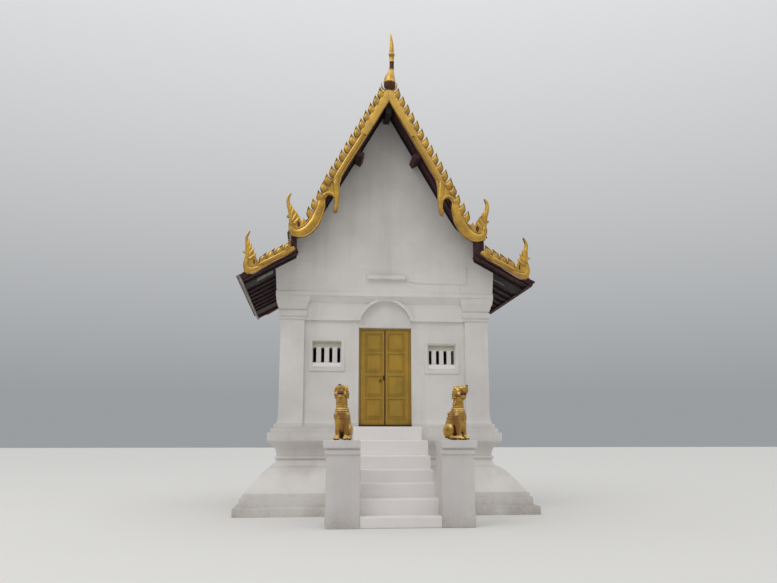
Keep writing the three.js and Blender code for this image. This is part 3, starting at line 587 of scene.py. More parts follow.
def gilding(settings, name="gold_bronze_paint", aged_brown_and_shade=None, fresh=0.0):
    """Bronze powder paint: yellow and satin, lightened as painted highlight where it faces up and
    darkened toward primer red as painted shade where it faces down, with red primer in the
    hollows deepened as painted shade. A fresh share is a painted highlight all over. On a lion it
    has brown patches of age, and is brown down its middle below the chest as painted shade."""
    gilt = Finish(name)
    primer = settings.hollow[:]
    # Clouds of 0.2 m and flecks of 24 mm.
    light = gilt.coat(settings.gold[:], settings.gold_dull[:], (gilt.mottle(5.0, 5.0), 0.35, 0.7))
    fleck = gilt.mottle(42.0, 4.0, 0.7)
    # Painted highlight: a fresh share lightens the gold all over.
    if fresh:
        light = gilt.coat(light, linear("#FBCB66"), fresh)
    if aged_brown_and_shade:
        across, _, height = gilt.add("ShaderNodeSeparateXYZ", {0: gilt.place}).outputs
        for kind, value in (("ABSOLUTE", 0.0), ("SUBTRACT", LION_X), ("ABSOLUTE", 0.0)):
            across = gilt.add("ShaderNodeMath", {0: across, 1: value}, operation=kind)
        light = gilt.coat(light, linear("#8E7420"), 0.2)
        light = gilt.coat(light, aged_brown_and_shade, (gilt.mottle(7.0, 3.0), 0.48, 0.66, 0.0, 0.6))
        # Painted shade: brown down the middle of a lion, below the chest, between the forelegs.
        light = gilt.coat(light, aged_brown_and_shade, (height, 2.0, 1.85), (across, 0.085, 0.03, 0.15, 0.85))
    # Red primer where occlusion finds hollows: partly real primer, partly painted shade.
    hollow = gilt.add("ShaderNodeAmbientOcclusion", {"Distance": 0.04 if aged_brown_and_shade else 0.09},
                      samples=8).outputs["AO"]
    base = gilt.coat(light, primer, (hollow, 0.8, 0.3), (fleck, 0.3, 0.6, 0.6, 1.0))
    base = gilt.coat(base, primer, (fleck, 0.66, 0.76, 0.0, 0.5))
    # Painted highlight where the gold faces up, painted shade in primer red where it faces down.
    up = gilt.upward()
    base = gilt.coat(base, linear("#F5D27C"), (up, 0.1, 0.6, 0.0, 0.6))
    base = gilt.coat(base, primer, (up, -0.1, -0.7, 0.0, 0.6))
    return gilt.done(base, gilt.share((fleck, 0.3, 0.7, 0.24, 0.42)), (
        (gilt.mottle(60.0, 4.0), 0.0016, 0.5),),
        {"Metallic": 0.6, "Coat Weight": 0.4, "Coat Roughness": 0.18})


def door_paint(settings):
    """Old gold gloss paint on planed boards: brown in the joints, vertical runs, faint grain."""
    paint = Finish("aged_gold_door_paint")
    # Grain 36 mm wide and clouds of 0.4 m.
    grain, cloud = paint.mottle(28.0, 4.0, 0.6, (1, 1, 0.06)), paint.mottle(2.6, 4.0)
    base = paint.coat(settings.paint[:], linear("#9A7E2A"), (cloud, 0.35, 0.7))
    base = paint.coat(base, linear("#97651F"), (grain, 0.5, 0.75, 0.0, 0.45))
    hollow = paint.add("ShaderNodeAmbientOcclusion", {"Distance": 0.035}, samples=8).outputs["AO"]
    base = paint.coat(base, settings.grime_and_seam_shade[:], (hollow, 0.85, 0.35, 0.0, 0.85))
    return paint.done(base, paint.share((grain, 0.3, 0.7, 0.4, 0.58)), (
        (grain, 0.0008, 0.6),), {"Metallic": 0.15})


def plain_wood(name, tint, dark, along):
    """Painted or bare weathered wood with its grain, 45 mm wide, along one axis."""
    wood = Finish(name)
    grain = wood.mottle(22.0, 5.0, 0.65, tuple(0.06 if axis == along else 1.0 for axis in "XYZ"))
    base = wood.coat(tint, dark, (grain, 0.35, 0.7))
    return wood.done(base, wood.share((grain, 0.3, 0.7, 0.6, 0.85)), ((grain, 0.002, 0.6),))


def fired_clay(settings):
    """Hand-made clay tiles: each a little lighter or darker, matt, with dark growth in patches."""
    clay = Finish("weathered_clay_tile")
    own = clay.add("ShaderNodeNewGeometry").outputs["Random Per Island"]
    base = clay.coat(settings.tile[:], linear("#5F5147"), own)
    # Growth in patches of 0.8 m and grit of 14 mm.
    base = clay.coat(base, settings.moss[:], (clay.mottle(1.3, 6.0, 0.65), 0.48, 0.7, 0.0, 0.75))
    grit = clay.mottle(70.0, 5.0, 0.7)
    base = clay.coat(base, linear("#A79C8C"), (grit, 0.6, 0.8, 0.0, 0.5))
    return clay.done(base, 0.88, ((grit, 0.002, 0.6),))


def dark_iron(settings):
    """Hand-forged iron gone dark: rough metal with rusty freckles of 11 mm."""
    iron = Finish("dark_forged_iron")
    rust = iron.mottle(90.0, 5.0)
    base = iron.coat(settings.iron[:], linear("#5A3420"), (rust, 0.5, 0.7))
    return iron.done(base, 0.55, ((rust, 0.0006, 0.5),), {"Metallic": 0.8})


def studio_paper(settings):
    """Plain matt floor, a little uneven in tone."""
    paper = Finish("plain_studio_floor")
    base = paper.coat(settings.floor[:], linear("#CFCECA"), (paper.mottle(0.25, 2.0), 0.3, 0.7, 0.0, 0.08))
    return paper.done(base, 0.95)


MASONRY = (
    "plinth_foot", "plinth_slope", "plinth_waist", "plinth_crown", "floor_slab",
    "pilaster_front_left", "pilaster_front_right", "pilaster_back_left", "pilaster_back_right",
    "front_wall_left", "front_wall_right", "front_frieze", "back_wall", "front_gable", "back_gable",
    "side_wall_left", "side_wall_right",
)
STAIRWORK = (
    "step_1", "step_2", "step_3", "step_4", "step_5", "step_6", "door_step",
    "stair_pier_left", "stair_pier_right",
)
# Solid heights of a window grille below and above its slots.
GRILLE_FOOT, GRILLE_HEAD = 0.090, 0.110
# Radius of the conduit, and its runs over the gable as (X, Z).
CONDUIT = 0.006
CONDUIT_PATHS = (
    ((0.375, 4.474), (0.46, 4.462), (0.55, 4.442), (0.66, 4.432), (0.90, 4.426), (1.20, 4.425),
     (1.44, 4.423), (1.485, 4.415), (1.498, 4.385), (1.500, 4.300), (1.500, 4.130)),
    ((1.630, 4.800), (1.632, 4.650), (1.630, 4.520), (1.618, 4.450), (1.580, 4.428), (1.500, 4.424)),
)


class HALL_OT_masonry(bpy.types.Operator):
    """Rounds the arrises of the plastered masonry and limewashes it"""
    bl_idname = "hall.masonry"
    bl_label = "Masonry"

    def execute(self, context):
        settings = context.scene.hall_masonry
        plaster = limewash(settings)
        fresh = limewash(settings, "fresh_limewash_of_steps", ("#F0ECEB", 0.75))
        grey = limewash(settings, "grey_limewash_of_piers", ("#A8A2A3", 0.28))
        for node in MASONRY:
            hand_over(worn_copy(node, f"{node}_plaster", settings.arris, plaster), "plaster", node)
        for node in (name for name in NODES if name.startswith("window_grille")):
            low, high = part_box(node)
            slots = (low.z + GRILLE_FOOT, high.z - GRILLE_HEAD)
            # Each grille's lime has painted shade over its slots and painted light under them.
            grille_light_and_shade_wash = limewash(settings, f"{node}_limewash", slots=slots)
            hand_over(worn_copy(node, f"{node}_plaster", settings.arris, grille_light_and_shade_wash), "plaster", node)
        for node in STAIRWORK:
            coat = grey if "pier" in node else fresh
            hand_over(worn_copy(node, f"{node}_plaster", settings.step_arris, coat), "plaster", node)

        # A lime-painted conduit runs over the front gable from the drip ledge.
        wall = shell_of("front_gable").ray_cast(Vector((1.5, -3, 4.3)), Vector((0, 1, 0)))[0].y
        pipe = profile_object("conduit", ellipse(0, 0, 1, 1, 8))
        paths = [[(x, wall - CONDUIT, z, CONDUIT) for x, z in path] for path in CONDUIT_PATHS]
        run = grow("conduit", sweep_tree(), {
            "Profile": pipe, "Step": 0.02, "Facing": Vector((0, -1, 0)), "Material": plaster,
        }, path_mesh("conduit_path", paths))
        hand_over(run, "plaster")
        return {"FINISHED"}


# Carving of the bargeboards, right half, as (X, Z, width) on the face of the front board.
FACE_Y = -2.568
BACK_TO_FRONT = Vector((0, -1, 0))
RIDGE_PROFILE = (
    (-0.088, -0.004), (-0.088, 0.020), (-0.074, 0.022), (-0.066, 0.004), (-0.018, 0.042),
    (-0.006, 0.050), (0.008, 0.048), (0.020, 0.030), (0.027, 0.012), (0.028, -0.004))
CUSHION_PROFILE = (
    (-1.0, -0.10), (-1.0, 0.10), (-0.9, 0.26), (-0.66, 0.44), (-0.33, 0.56), (0.0, 0.66),
    (0.33, 0.56), (0.66, 0.44), (0.9, 0.26), (1.0, 0.10), (1.0, -0.10))
BAND_PROFILE = (
    (-1.0, -0.08), (-1.0, 0.17), (-0.92, 0.23), (-0.84, 0.20), (-0.78, 0.07), (-0.40, 0.22),
    (0.05, 0.30), (0.45, 0.24), (0.78, 0.09), (0.84, 0.22), (0.92, 0.25), (1.0, 0.19), (1.0, -0.08))
UPPER_RIDGE = (
    (0.545, 7.285, 0.9), (0.600, 7.190, 1.0), (0.800, 6.850, 1.0), (0.980, 6.535, 1.0),
    (1.045, 6.410, 0.9), (1.085, 6.330, 0.6), (1.105, 6.280, 0.25))
FINGER = (
    (1.030, 6.410, 0.030), (1.043, 6.280, 0.054), (1.030, 6.130, 0.052), (1.018, 6.000, 0.046),
    (1.020, 5.900, 0.043), (1.030, 5.800, 0.041), (1.046, 5.720, 0.034), (1.057, 5.688, 0.018))
ARCH_RING = (
    (1.060, 5.980, 0.020), (1.090, 6.036, 0.027), (1.145, 6.068, 0.031), (1.205, 6.068, 0.031),
    (1.262, 6.032, 0.031), (1.302, 5.965, 0.018))
CRESCENT = (
    (1.300, 6.010, 0.040), (1.318, 5.930, 0.068), (1.338, 5.810, 0.088), (1.385, 5.650, 0.100),
    (1.455, 5.490, 0.104), (1.545, 5.365, 0.106), (1.650, 5.284, 0.104), (1.755, 5.256, 0.088),
    (1.843, 5.282, 0.070), (1.888, 5.358, 0.052), (1.896, 5.440, 0.042))
UPPER_FLAME = (
    (1.885, 5.400, 0.040), (1.893, 5.500, 0.040), (1.905, 5.600, 0.036), (1.930, 5.700, 0.030),
    (1.957, 5.800, 0.026), (1.970, 5.890, 0.020), (1.960, 5.975, 0.014), (1.908, 6.044, 0.006))
UPPER_FEATHERS = (
    ((1.675, 5.360, 0.030), (1.668, 5.440, 0.028), (1.660, 5.510, 0.018), (1.652, 5.558, 0.006)),
    ((1.830, 5.430, 0.034), (1.785, 5.490, 0.034), (1.750, 5.540, 0.022), (1.726, 5.585, 0.006)),
    ((1.860, 5.480, 0.036), (1.830, 5.560, 0.034), (1.800, 5.620, 0.022), (1.782, 5.672, 0.006)),
    ((1.885, 5.550, 0.036), (1.875, 5.640, 0.032), (1.862, 5.700, 0.022), (1.848, 5.758, 0.006)),
    ((1.905, 5.630, 0.032), (1.912, 5.720, 0.028), (1.908, 5.780, 0.018), (1.898, 5.835, 0.006)),
    ((1.930, 5.720, 0.026), (1.943, 5.800, 0.022), (1.938, 5.870, 0.014), (1.926, 5.925, 0.005)),
    ((1.875, 5.575, 0.024), (1.920, 5.590, 0.018), (1.985, 5.588, 0.005)))
LOWER_RIDGE = (
    (2.030, 4.862, 0.6), (2.080, 4.832, 0.86), (2.200, 4.768, 0.88), (2.350, 4.688, 0.88),
    (2.430, 4.645, 0.80), (2.500, 4.600, 0.40))
HOOK = (
    (2.420, 4.592, 0.030), (2.520, 4.540, 0.052), (2.620, 4.508, 0.064), (2.698, 4.534, 0.060),
    (2.722, 4.620, 0.048), (2.710, 4.710, 0.042), (2.690, 4.790, 0.042))
LOWER_FLAME = (
    (2.698, 4.750, 0.040), (2.685, 4.870, 0.040), (2.700, 4.960, 0.034), (2.722, 5.050, 0.026),
    (2.728, 5.130, 0.020), (2.712, 5.200, 0.013), (2.672, 5.270, 0.006))
LOWER_FEATHERS = (
    ((2.660, 4.720, 0.036), (2.600, 4.760, 0.034), (2.560, 4.800, 0.022), (2.538, 4.845, 0.006)),
    ((2.665, 4.780, 0.036), (2.630, 4.850, 0.032), (2.600, 4.900, 0.020), (2.578, 4.945, 0.006)),
    ((2.675, 4.860, 0.034), (2.655, 4.930, 0.028), (2.640, 4.980, 0.018), (2.626, 5.025, 0.006)),
    ((2.690, 4.940, 0.030), (2.688, 5.010, 0.024), (2.682, 5.060, 0.016), (2.672, 5.105, 0.005)),
    ((2.700, 4.835, 0.024), (2.745, 4.850, 0.017), (2.795, 4.862, 0.005)))
# Dark primer plates laid flat inside the curls, as (X, Z, half width, half height).
UPPER_HOLLOWS = ((1.745, 5.425, 0.030, 0.060), (1.585, 5.462, 0.024, 0.034))
LOWER_HOLLOWS = ((2.568, 4.668, 0.016, 0.050),)
APEX_PLATE = (
    (0.0, 8.045), (0.0, 8.275), (0.080, 8.232), (0.300, 7.845), (0.520, 7.455), (0.566, 7.340),
    (0.548, 7.270), (0.515, 7.262), (0.500, 7.300), (0.470, 7.295), (0.450, 7.262))
LOWER_PLATE = (
    (1.800, 4.930), (1.832, 4.985), (1.900, 4.955), (2.050, 4.878), (2.078, 4.830), (2.062, 4.795),
    (2.030, 4.790), (2.000, 4.802), (1.950, 4.822))
# Finial: radius and height of the turned profile, from the seat up.
FINIAL = (
    (0.040, 8.200), (0.044, 8.256), (0.062, 8.272), (0.084, 8.294), (0.102, 8.322), (0.114, 8.352),
    (0.119, 8.385), (0.116, 8.412), (0.110, 8.422), (0.120, 8.430), (0.124, 8.442), (0.118, 8.452),
    (0.116, 8.480), (0.111, 8.520), (0.102, 8.560), (0.090, 8.600), (0.076, 8.640), (0.064, 8.672),
    (0.055, 8.692), (0.051, 8.700), (0.055, 8.710), (0.050, 8.722), (0.045, 8.760), (0.044, 8.820),
    (0.044, 8.876), (0.049, 8.886), (0.049, 8.898), (0.045, 8.908), (0.046, 8.960), (0.046, 9.004),
    (0.050, 9.012), (0.058, 9.028), (0.062, 9.045), (0.062, 9.060), (0.056, 9.074), (0.048, 9.084),
    (0.047, 9.100), (0.044, 9.180), (0.038, 9.270), (0.030, 9.360), (0.021, 9.440), (0.011, 9.500),
    (0.003, 9.530))
SPIRE_Y, SPIRE_SIDES = -2.535, 32
# Sideways lean of the finial as (from height, to height, shift).
LEANS = ((8.22, 8.30, 0.015), (8.52, 8.80, 0.043), (9.25, 9.53, -0.020))
STEM_PAINT = (8.715, 8.880)
LOBES, LOBE_DEPTH, BULB_PAINT_TOP = 8, 0.10, 8.418
# Heights over which the lobes of the bell rise and fade.
LOBE_FOOT, LOBE_TOP = (8.42, 8.47), (8.60, 8.74)
HORN = (
    (0.040, 8.250, 0.014), (0.090, 8.262, 0.018), (0.132, 8.300, 0.018), (0.152, 8.355, 0.014),
    (0.154, 8.400, 0.009), (0.140, 8.430, 0.004))
UPPER_TEETH_TOP, UPPER_TEETH_FOOT, UPPER_TEETH = (0.0, 8.41), (1.23, 6.222), 13
LOWER_TEETH_TOP, LOWER_TEETH_FOOT, LOWER_TEETH = (1.87, 4.975), (2.48, 4.645), 4
LOWER_SWELL = 1.16
CURVE_TEETH = (
    ((1.317, 6.088), (-0.6, 0.8), 1.0), ((1.368, 5.884), (-0.42, 0.907), 1.05),
    ((1.468, 5.719), (-0.42, 0.907), 1.05), ((1.553, 5.554), (-0.42, 0.907), 1.05))
# A leaf on its tooth: along the edge and outward from it, for a tooth of this length.
LEAF_LENGTH = 0.18
LEAF = (
    (0.009, -0.060), (0.009, 0.008), (0.019, 0.036), (0.039, 0.064), (0.063, 0.083), (0.112, 0.093),
    (0.161, 0.103), (0.205, 0.117), (0.188, 0.086), (0.167, 0.048), (0.150, 0.008), (0.146, -0.060))
# The tooth under each leaf, in primer red: partly painted shade in the slots between leaves.
TOOTH = (
    (0.001, -0.039), (0.001, 0.006), (0.015, 0.036), (0.037, 0.065), (0.063, 0.083), (0.112, 0.093),
    (0.162, 0.103), (0.202, 0.116), (0.187, 0.086), (0.170, 0.048), (0.157, 0.008), (0.154, -0.039))
# How a leaf is cut from its outline: by turns, how far it is drawn in and how far it rises.
LEAF_RELIEF = ((0.0, 0.017), (0.003, 0.003), (0.005, 0.0), (0.004, -0.007), (0.013, 0.012))
TOOTH_RELIEF = ((0.0, 0.0055),)
PLATE_THICK, HOLLOW_THICK, CARVING_STEP = 0.022, 0.003, 0.022


def leaf_shape(name, outline, steps):
    """A blade lying in its own plane, raised and drawn in by turns from its outline."""
    bm = bmesh.new()
    face = bm.faces.new([bm.verts.new((s, -n, -0.004)) for s, n in outline])
    for inset, rise in steps:
        if inset:
            bmesh.ops.inset_region(bm, faces=[face], thickness=inset, depth=0, use_even_offset=True)
        else:
            face = bmesh.ops.extrude_discrete_faces(bm, faces=[face])["faces"][0]
        bmesh.ops.translate(bm, verts=face.verts, vec=(0, 0, rise))
    return small_shape(name, bm)


def raised_plate(name, outline, thick, material, y=FACE_Y):
    """A flat plate on an upright face, its rim eased."""
    bm = bmesh.new()
    verts = [bm.verts.new((x, y, z)) for x, z in outline]
    face = bm.faces.new(verts)
    moved = bmesh.ops.extrude_face_region(bm, geom=[face])["geom"]
    front = [item for item in moved if isinstance(item, bmesh.types.BMVert)]
    bmesh.ops.translate(bm, verts=front, vec=(0, -thick, 0))
    rim = [edge for edge in bm.edges if all(vert in front for vert in edge.verts)]
    bmesh.ops.bevel(bm, geom=rim, offset=thick * 0.3, segments=2, profile=0.5, affect="EDGES",
                    clamp_overlap=True)
    bmesh.ops.recalc_face_normals(bm, faces=bm.faces)
    bmesh.ops.triangulate(bm, faces=bm.faces)
    return from_bmesh(name, bm, material)


def flat_shape(name, outline, thick, ease=0.0):
    """A small solid: an outline raised from its own plane, the top eased inward."""
    bm = bmesh.new()
    bottom = [bm.verts.new((x, y, 0.0)) for x, y in outline]
    top = [bm.verts.new((x - ease * ((x > 0) - (x < 0)), y * (1 - ease * 4), thick))
           for x, y in outline]
    skin(bm, (bottom, top))
    return small_shape(name, bm)


def smooth_step(value, low, high):
    """Eases from 0 to 1 between two limits."""
    share = min(max((value - low) / (high - low), 0.0), 1.0)
    return share * share * (3 - 2 * share)


def ellipse(x, z, half_width, half_height, count=16):
    """An outline of so many points round a centre."""
    angles = [2 * math.pi * i / count for i in range(count)]
    return [(x + half_width * math.cos(a), z + half_height * math.sin(a)) for a in angles]


def offset_path(points, distance):
    """An (X, Z) polyline moved outward, its corners kept on their mitres."""
    moved = []
    for i, (x, z) in enumerate(points):
        turns = []
        for first, second in ((i - 1, i), (i, i + 1)):
            if first >= 0 and second < len(points):
                way = Vector(points[second]) - Vector(points[first])
                turns.append(Vector((-way.y, way.x)).normalized())
        normal = sum(turns, Vector((0, 0))).normalized()
        stretch = distance / normal.dot(turns[0])
        moved.append((x + normal.x * stretch, z + normal.y * stretch))
    return moved


def trimmed(points, start, end):
    """An (X, Z) polyline shortened at both ends."""
    cut = [Vector(point) for point in points]
    for _ in range(2):
        amount = start
        while (cut[1] - cut[0]).length < amount:
            amount -= (cut[1] - cut[0]).length
            cut.pop(0)
        cut[0] = cut[0] + (cut[1] - cut[0]).normalized() * amount
        cut.reverse()
        start, end = end, start
    return [tuple(point) for point in cut]


def on_face(points):
    """Points set on the face of the front board."""
    return [(x, FACE_Y, z, width) for x, z, width in points]


def tooth_roots(top, foot, count, skip_last, scale=1.0):
    """Roots of the teeth from the foot up, as one short path for each."""
    top, foot = Vector((top[0], FACE_Y, top[1])), Vector((foot[0], FACE_Y, foot[1]))
    pitch = (top - foot) / count
    size = scale * pitch.length / LEAF_LENGTH
    return [[(*(foot + pitch * i), size), (*(foot + pitch * (i + 0.5)), 0.0)]
            for i in range(count - skip_last)]


class HALL_OT_gilding(bpy.types.Operator):
    """Carves and gilds the bargeboards and finials"""
    bl_idname = "hall.gilding"
    bl_label = "Gilded boards"

    def carved_half(self, name, parts, teeth, gold, bright, primer):
        """The raised carving of the right half: ridges, cushions, feathers and leaves."""
        sweep, along = sweep_tree(), along_tree()
        made = []
        for kind, profile, paths in parts:
            paint = bright if kind == "ridge" else gold
            made.append(grow(f"{name}_{kind}", sweep, {
                "Profile": profile, "Step": CARVING_STEP, "Facing": BACK_TO_FRONT,
                "Material": paint}, path_mesh(f"{name}_{kind}", [on_face(path) for path in paths])))
        # Gold leaves on primer-red teeth, which show round them as painted shade in the slots.
        for kind, outline, steps, material in (
                ("leaves", LEAF, LEAF_RELIEF, gold), ("teeth", TOOTH, TOOTH_RELIEF, primer)):
            made.append(grow(f"{name}_{kind}", along, {
                "Shape": leaf_shape(kind, outline, steps), "Step": 0.0, "Facing": BACK_TO_FRONT,
                "Material": material}, path_mesh(f"{name}_{kind}_roots", teeth)))
        return made

    def execute(self, context):
        settings = context.scene.hall_gilt
        gold = gilding(settings)
        # Ridges and the apex plate take the lighter gold as a painted highlight.
        bright = gilding(settings, "fresh_gold_bronze_paint", fresh=0.4)
        primer = plain_wood("red_lac_primer", settings.hollow[:], linear("#33180C"), "Z")
        ridge = profile_object("ridge_outline", RIDGE_PROFILE)
        cushion = profile_object("cushion_outline", CUSHION_PROFILE)
        band = profile_object("band_outline", BAND_PROFILE)

        teeth = tooth_roots(UPPER_TEETH_TOP, UPPER_TEETH_FOOT, UPPER_TEETH, 1)
        for (x, z), (along_x, along_z), size in CURVE_TEETH:
            root = Vector((x, FACE_Y, z))
            tip = root + Vector((along_x, 0, along_z)) * LEAF_LENGTH
            teeth.append([(*root, size), (*tip, 0.0)])
        upper = self.carved_half("upper_carving", (
            ("ridge", ridge, [UPPER_RIDGE]), ("ring", cushion, [FINGER, ARCH_RING]),
            ("crescent", band, [CRESCENT]), ("feathers", cushion, [UPPER_FLAME, HORN, *UPPER_FEATHERS]),
        ), teeth, gold, bright, primer)
        upper.append(raised_plate("apex_plate", APEX_PLATE, PLATE_THICK, bright))
        lower = self.carved_half("lower_carving", (
            ("ridge", ridge, [LOWER_RIDGE]), ("hook", band, [HOOK]),
            ("feathers", cushion, [LOWER_FLAME, *LOWER_FEATHERS]),
        ), tooth_roots(LOWER_TEETH_TOP, LOWER_TEETH_FOOT, LOWER_TEETH, 0, LOWER_SWELL),
            gold, bright, primer)
        lower.append(raised_plate("head_plate", LOWER_PLATE, PLATE_THICK, gold))
        for made, hollows in ((upper, UPPER_HOLLOWS), (lower, LOWER_HOLLOWS)):
            made += [raised_plate("hollow", ellipse(*hollow), HOLLOW_THICK, primer)
                     for hollow in hollows]
        upper, lower = joined("upper_half", upper), joined("lower_half", lower)

        for end, turn in (("front", Matrix.Identity(4)), ("back", HALF_TURN)):
            node = f"upper_bargeboards_{end}"
            board = worn_copy(node, f"{node}_sawn", settings.arris, gold)
            halves = [turned(upper, turn, "half"), turned(upper, turn @ MIRROR, "half")]
            hand_over(joined(f"{node}_carved", [board, *halves]), "gold_paint", node)
            for side, flip in (("right", Matrix.Identity(4)), ("left", MIRROR)):
                seen = side if end == "front" else {"left": "right", "right": "left"}[side]
                node = f"lower_bargeboard_{end}_{seen}"
                board = worn_copy(node, f"{node}_sawn", settings.arris, gold)
                half = turned(lower, turn @ flip, "half")
                hand_over(joined(f"{node}_carved", [board, half]), "gold_paint", node)
            self.finial(f"apex_finial_{end}", turn, gold, primer)
        for piece in (upper, lower):
            bpy.data.objects.remove(piece)
        return {"FINISHED"}

    def finial(self, node, turn, gold, primer):
        """A turned spire with a lobed bell on a dark bulb; its stem has bent to one side."""
        bm = bmesh.new()
        rings = []
        for radius, z in FINIAL:
            lean = sum(shift * smooth_step(z, low, high) for low, high, shift in LEANS)
            lobe = LOBE_DEPTH * smooth_step(z, *LOBE_FOOT) * (1 - smooth_step(z, *LOBE_TOP))
            ring = []
            for i in range(SPIRE_SIDES):
                angle = 2 * math.pi * i / SPIRE_SIDES
                wave = radius * (1 - lobe * (1 - abs(math.cos(LOBES / 2 * angle))))
                ring.append(bm.verts.new((
                    lean + wave * math.cos(angle), SPIRE_Y + wave * math.sin(angle), z)))
            rings.append(ring)
        for band, (_, z) in zip(skin(bm, rings), FINIAL):
            if z < BULB_PAINT_TOP or STEM_PAINT[0] < z < STEM_PAINT[1]:
                for face in band:
                    face.material_index = 1
        bmesh.ops.recalc_face_normals(bm, faces=bm.faces)
        bm.transform(turn)
        hand_over(from_bmesh(f"{node}_turned", bm, gold, primer, sharp=35), "gold_paint", node)


# A seated lion that faces -Y about the middle of its base. Balls are centre and radii, limbs
# are two ends with their radii; the paired ones are made on both sides.
BALLS = (
    ((0, 0.085, 0.150), (0.124, 0.142, 0.146)), ((0, -0.055, 0.420), (0.115, 0.108, 0.150)),
    ((0, -0.052, 0.790), (0.094, 0.100, 0.088)), ((0, -0.178, 0.792), (0.056, 0.046, 0.028)),
    ((0, -0.198, 0.856), (0.047, 0.036, 0.042)), ((0, -0.166, 0.680), (0.028, 0.024, 0.028)),
    ((0, -0.085, 0.250), (0.054, 0.060, 0.150)), ((0, -0.040, 0.862), (0.050, 0.064, 0.028)),
    ((0, 0.150, 0.420), (0.028, 0.026, 0.052)),
)
PAIRED_BALLS = (
    ((0.098, 0.062, 0.150), (0.050, 0.122, 0.122)), ((0.116, -0.075, 0.036), (0.038, 0.098, 0.036)),
    ((0.062, -0.166, 0.036), (0.042, 0.058, 0.034)), ((0.060, -0.096, 0.742), (0.036, 0.042, 0.040)),
    ((0.045, -0.130, 0.842), (0.034, 0.034, 0.022)), ((0.027, -0.209, 0.792), (0.023, 0.014, 0.020)),
    ((0.098, -0.160, 0.026), (0.016, 0.022, 0.020)), ((0.126, -0.166, 0.026), (0.016, 0.022, 0.020)),
    ((0.036, -0.214, 0.024), (0.013, 0.022, 0.019)), ((0.061, -0.221, 0.024), (0.013, 0.022, 0.019)),
    ((0.086, -0.214, 0.024), (0.013, 0.022, 0.019)), ((0.082, -0.032, 0.795), (0.026, 0.040, 0.032)),
    ((0.088, -0.022, 0.742), (0.028, 0.040, 0.030)), ((0.084, -0.014, 0.690), (0.024, 0.034, 0.026)),
)
LIMBS = (
    ((0, 0.080, 0.200), (0, -0.035, 0.470), 0.126, 0.107),
    ((0, -0.040, 0.480), (0, -0.052, 0.730), 0.094, 0.074),
    ((0, -0.082, 0.818), (0, -0.184, 0.838), 0.067, 0.055),
    ((0, -0.080, 0.716), (0, -0.166, 0.700), 0.048, 0.036),
    ((0, 0.210, 0.050), (0, 0.228, 0.170), 0.024, 0.023),
    ((0, 0.228, 0.170), (0, 0.196, 0.290), 0.023, 0.020),
    ((0, 0.196, 0.290), (0, 0.152, 0.400), 0.020, 0.019),
)
PAIRED_LIMBS = (
    ((0.074, -0.092, 0.390), (0.067, -0.122, 0.200), 0.055, 0.043),
    ((0.067, -0.122, 0.200), (0.063, -0.142, 0.040), 0.043, 0.038),
    ((0.072, -0.045, 0.835), (0.090, -0.020, 0.872), 0.026, 0.014),
    ((0.022, -0.156, 0.842), (0.074, -0.112, 0.874), 0.014, 0.007),
)
# Rings of points shot inward on to the body: height, half the arc in turns, and how many. Scales
# cover the breast, curls the back of the head and neck.
BREAST_RINGS = tuple((0.360 + 0.036 * i, 0.5, 24 - i) for i in range(6))
MANE_RINGS = tuple((0.580 + 0.036 * i, 0.27, 14) for i in range(8))
LION_AXIS = Vector((0, -0.045, 0))
# One scale and one curl as rings of (radius, height, shift), for a length of 1.
SCALE = ((0.50, -0.12, 0.0), (0.55, 0.06, 0.05), (0.30, 0.15, 0.16), (0.06, 0.18, 0.30))
CURL = (
    (0.52, -0.12, 0.0), (0.55, 0.14, 0.0), (0.40, 0.24, 0.03), (0.36, 0.20, 0.05),
    (0.22, 0.40, 0.04), (0.06, 0.46, 0.02))
FACE_BALLS = {
    "eyes": [((x, -0.136, 0.812), (0.022, 0.022, 0.017)) for x in (-0.056, 0.056)],
    "pupils": [((x, -0.152, 0.813), (0.012, 0.009, 0.012)) for x in (-0.0588, 0.0588)],
    "throat": [((0, -0.140, 0.746), (0.050, 0.066, 0.022))],
    "lips": [((0, -0.146, 0.728), (0.052, 0.064, 0.009)), ((0, -0.156, 0.766), (0.055, 0.064, 0.009))],
    "nose": [((0, -0.216, 0.880), (0.026, 0.021, 0.015))],
}
# How far the lions sit from the middle of the stair, and between what heights they lean.
LION_X = 0.9153
LEAN_HEIGHTS = 0.15, 0.80
# Each lion's place, turn in degrees, and how far its head leans aside.
LION_PLACES = {
    "lion_left": (-LION_X, -4.191, 1.3603, -12, -0.030),
    "lion_right": (0.9373, -4.191, 1.3603, 38, 0.034)}


def add_ball(bm, centre, radii):
    """Adds an ellipsoid."""
    size = Matrix.Diagonal((*radii, 1))
    bmesh.ops.create_uvsphere(bm, u_segments=20, v_segments=12, radius=1,
                              matrix=Matrix.Translation(centre) @ size)


def add_limb(bm, start, end, first, last):
    """Adds a tapered limb between two radii, its ends round."""
    start, end = Vector(start), Vector(end)
    turn = (end - start).to_track_quat("Z", "Y").to_matrix().to_4x4()
    bmesh.ops.create_cone(
        bm, cap_ends=True, segments=20, radius1=first, radius2=last, depth=(end - start).length,
        matrix=Matrix.Translation((start + end) / 2) @ turn)
    add_ball(bm, start, (first,) * 3)
    add_ball(bm, end, (last,) * 3)


def ring_points(rings, centre_turn):
    """Staggered points round the lion, each ring spread about a direction."""
    paths = []
    for row, (height, spread, count) in enumerate(rings):
        path = []
        for i in range(count):
            share = (i + 0.5 * (row % 2)) / count
            angle = centre_turn + 2 * math.pi * spread * (2 * share - 1)
            away = Vector((math.cos(angle), math.sin(angle), 0)) * 0.3
            path.append(LION_AXIS + away + Vector((0, 0, height)))
        paths.append(path)
    return paths


def turned_shape(name, rings, sides, stretch=(1, 1)):
    """A small closed solid from rings round Z, as (radius, height, shift along X)."""
    bm = bmesh.new()
    rows = []
    for radius, height, shift in rings:
        rows.append([bm.verts.new((
            radius * stretch[0] * math.cos(2 * math.pi * i / sides) + shift,
            radius * stretch[1] * math.sin(2 * math.pi * i / sides), height)) for i in range(sides)])
    skin(bm, rows)
    return small_shape(name, bm)


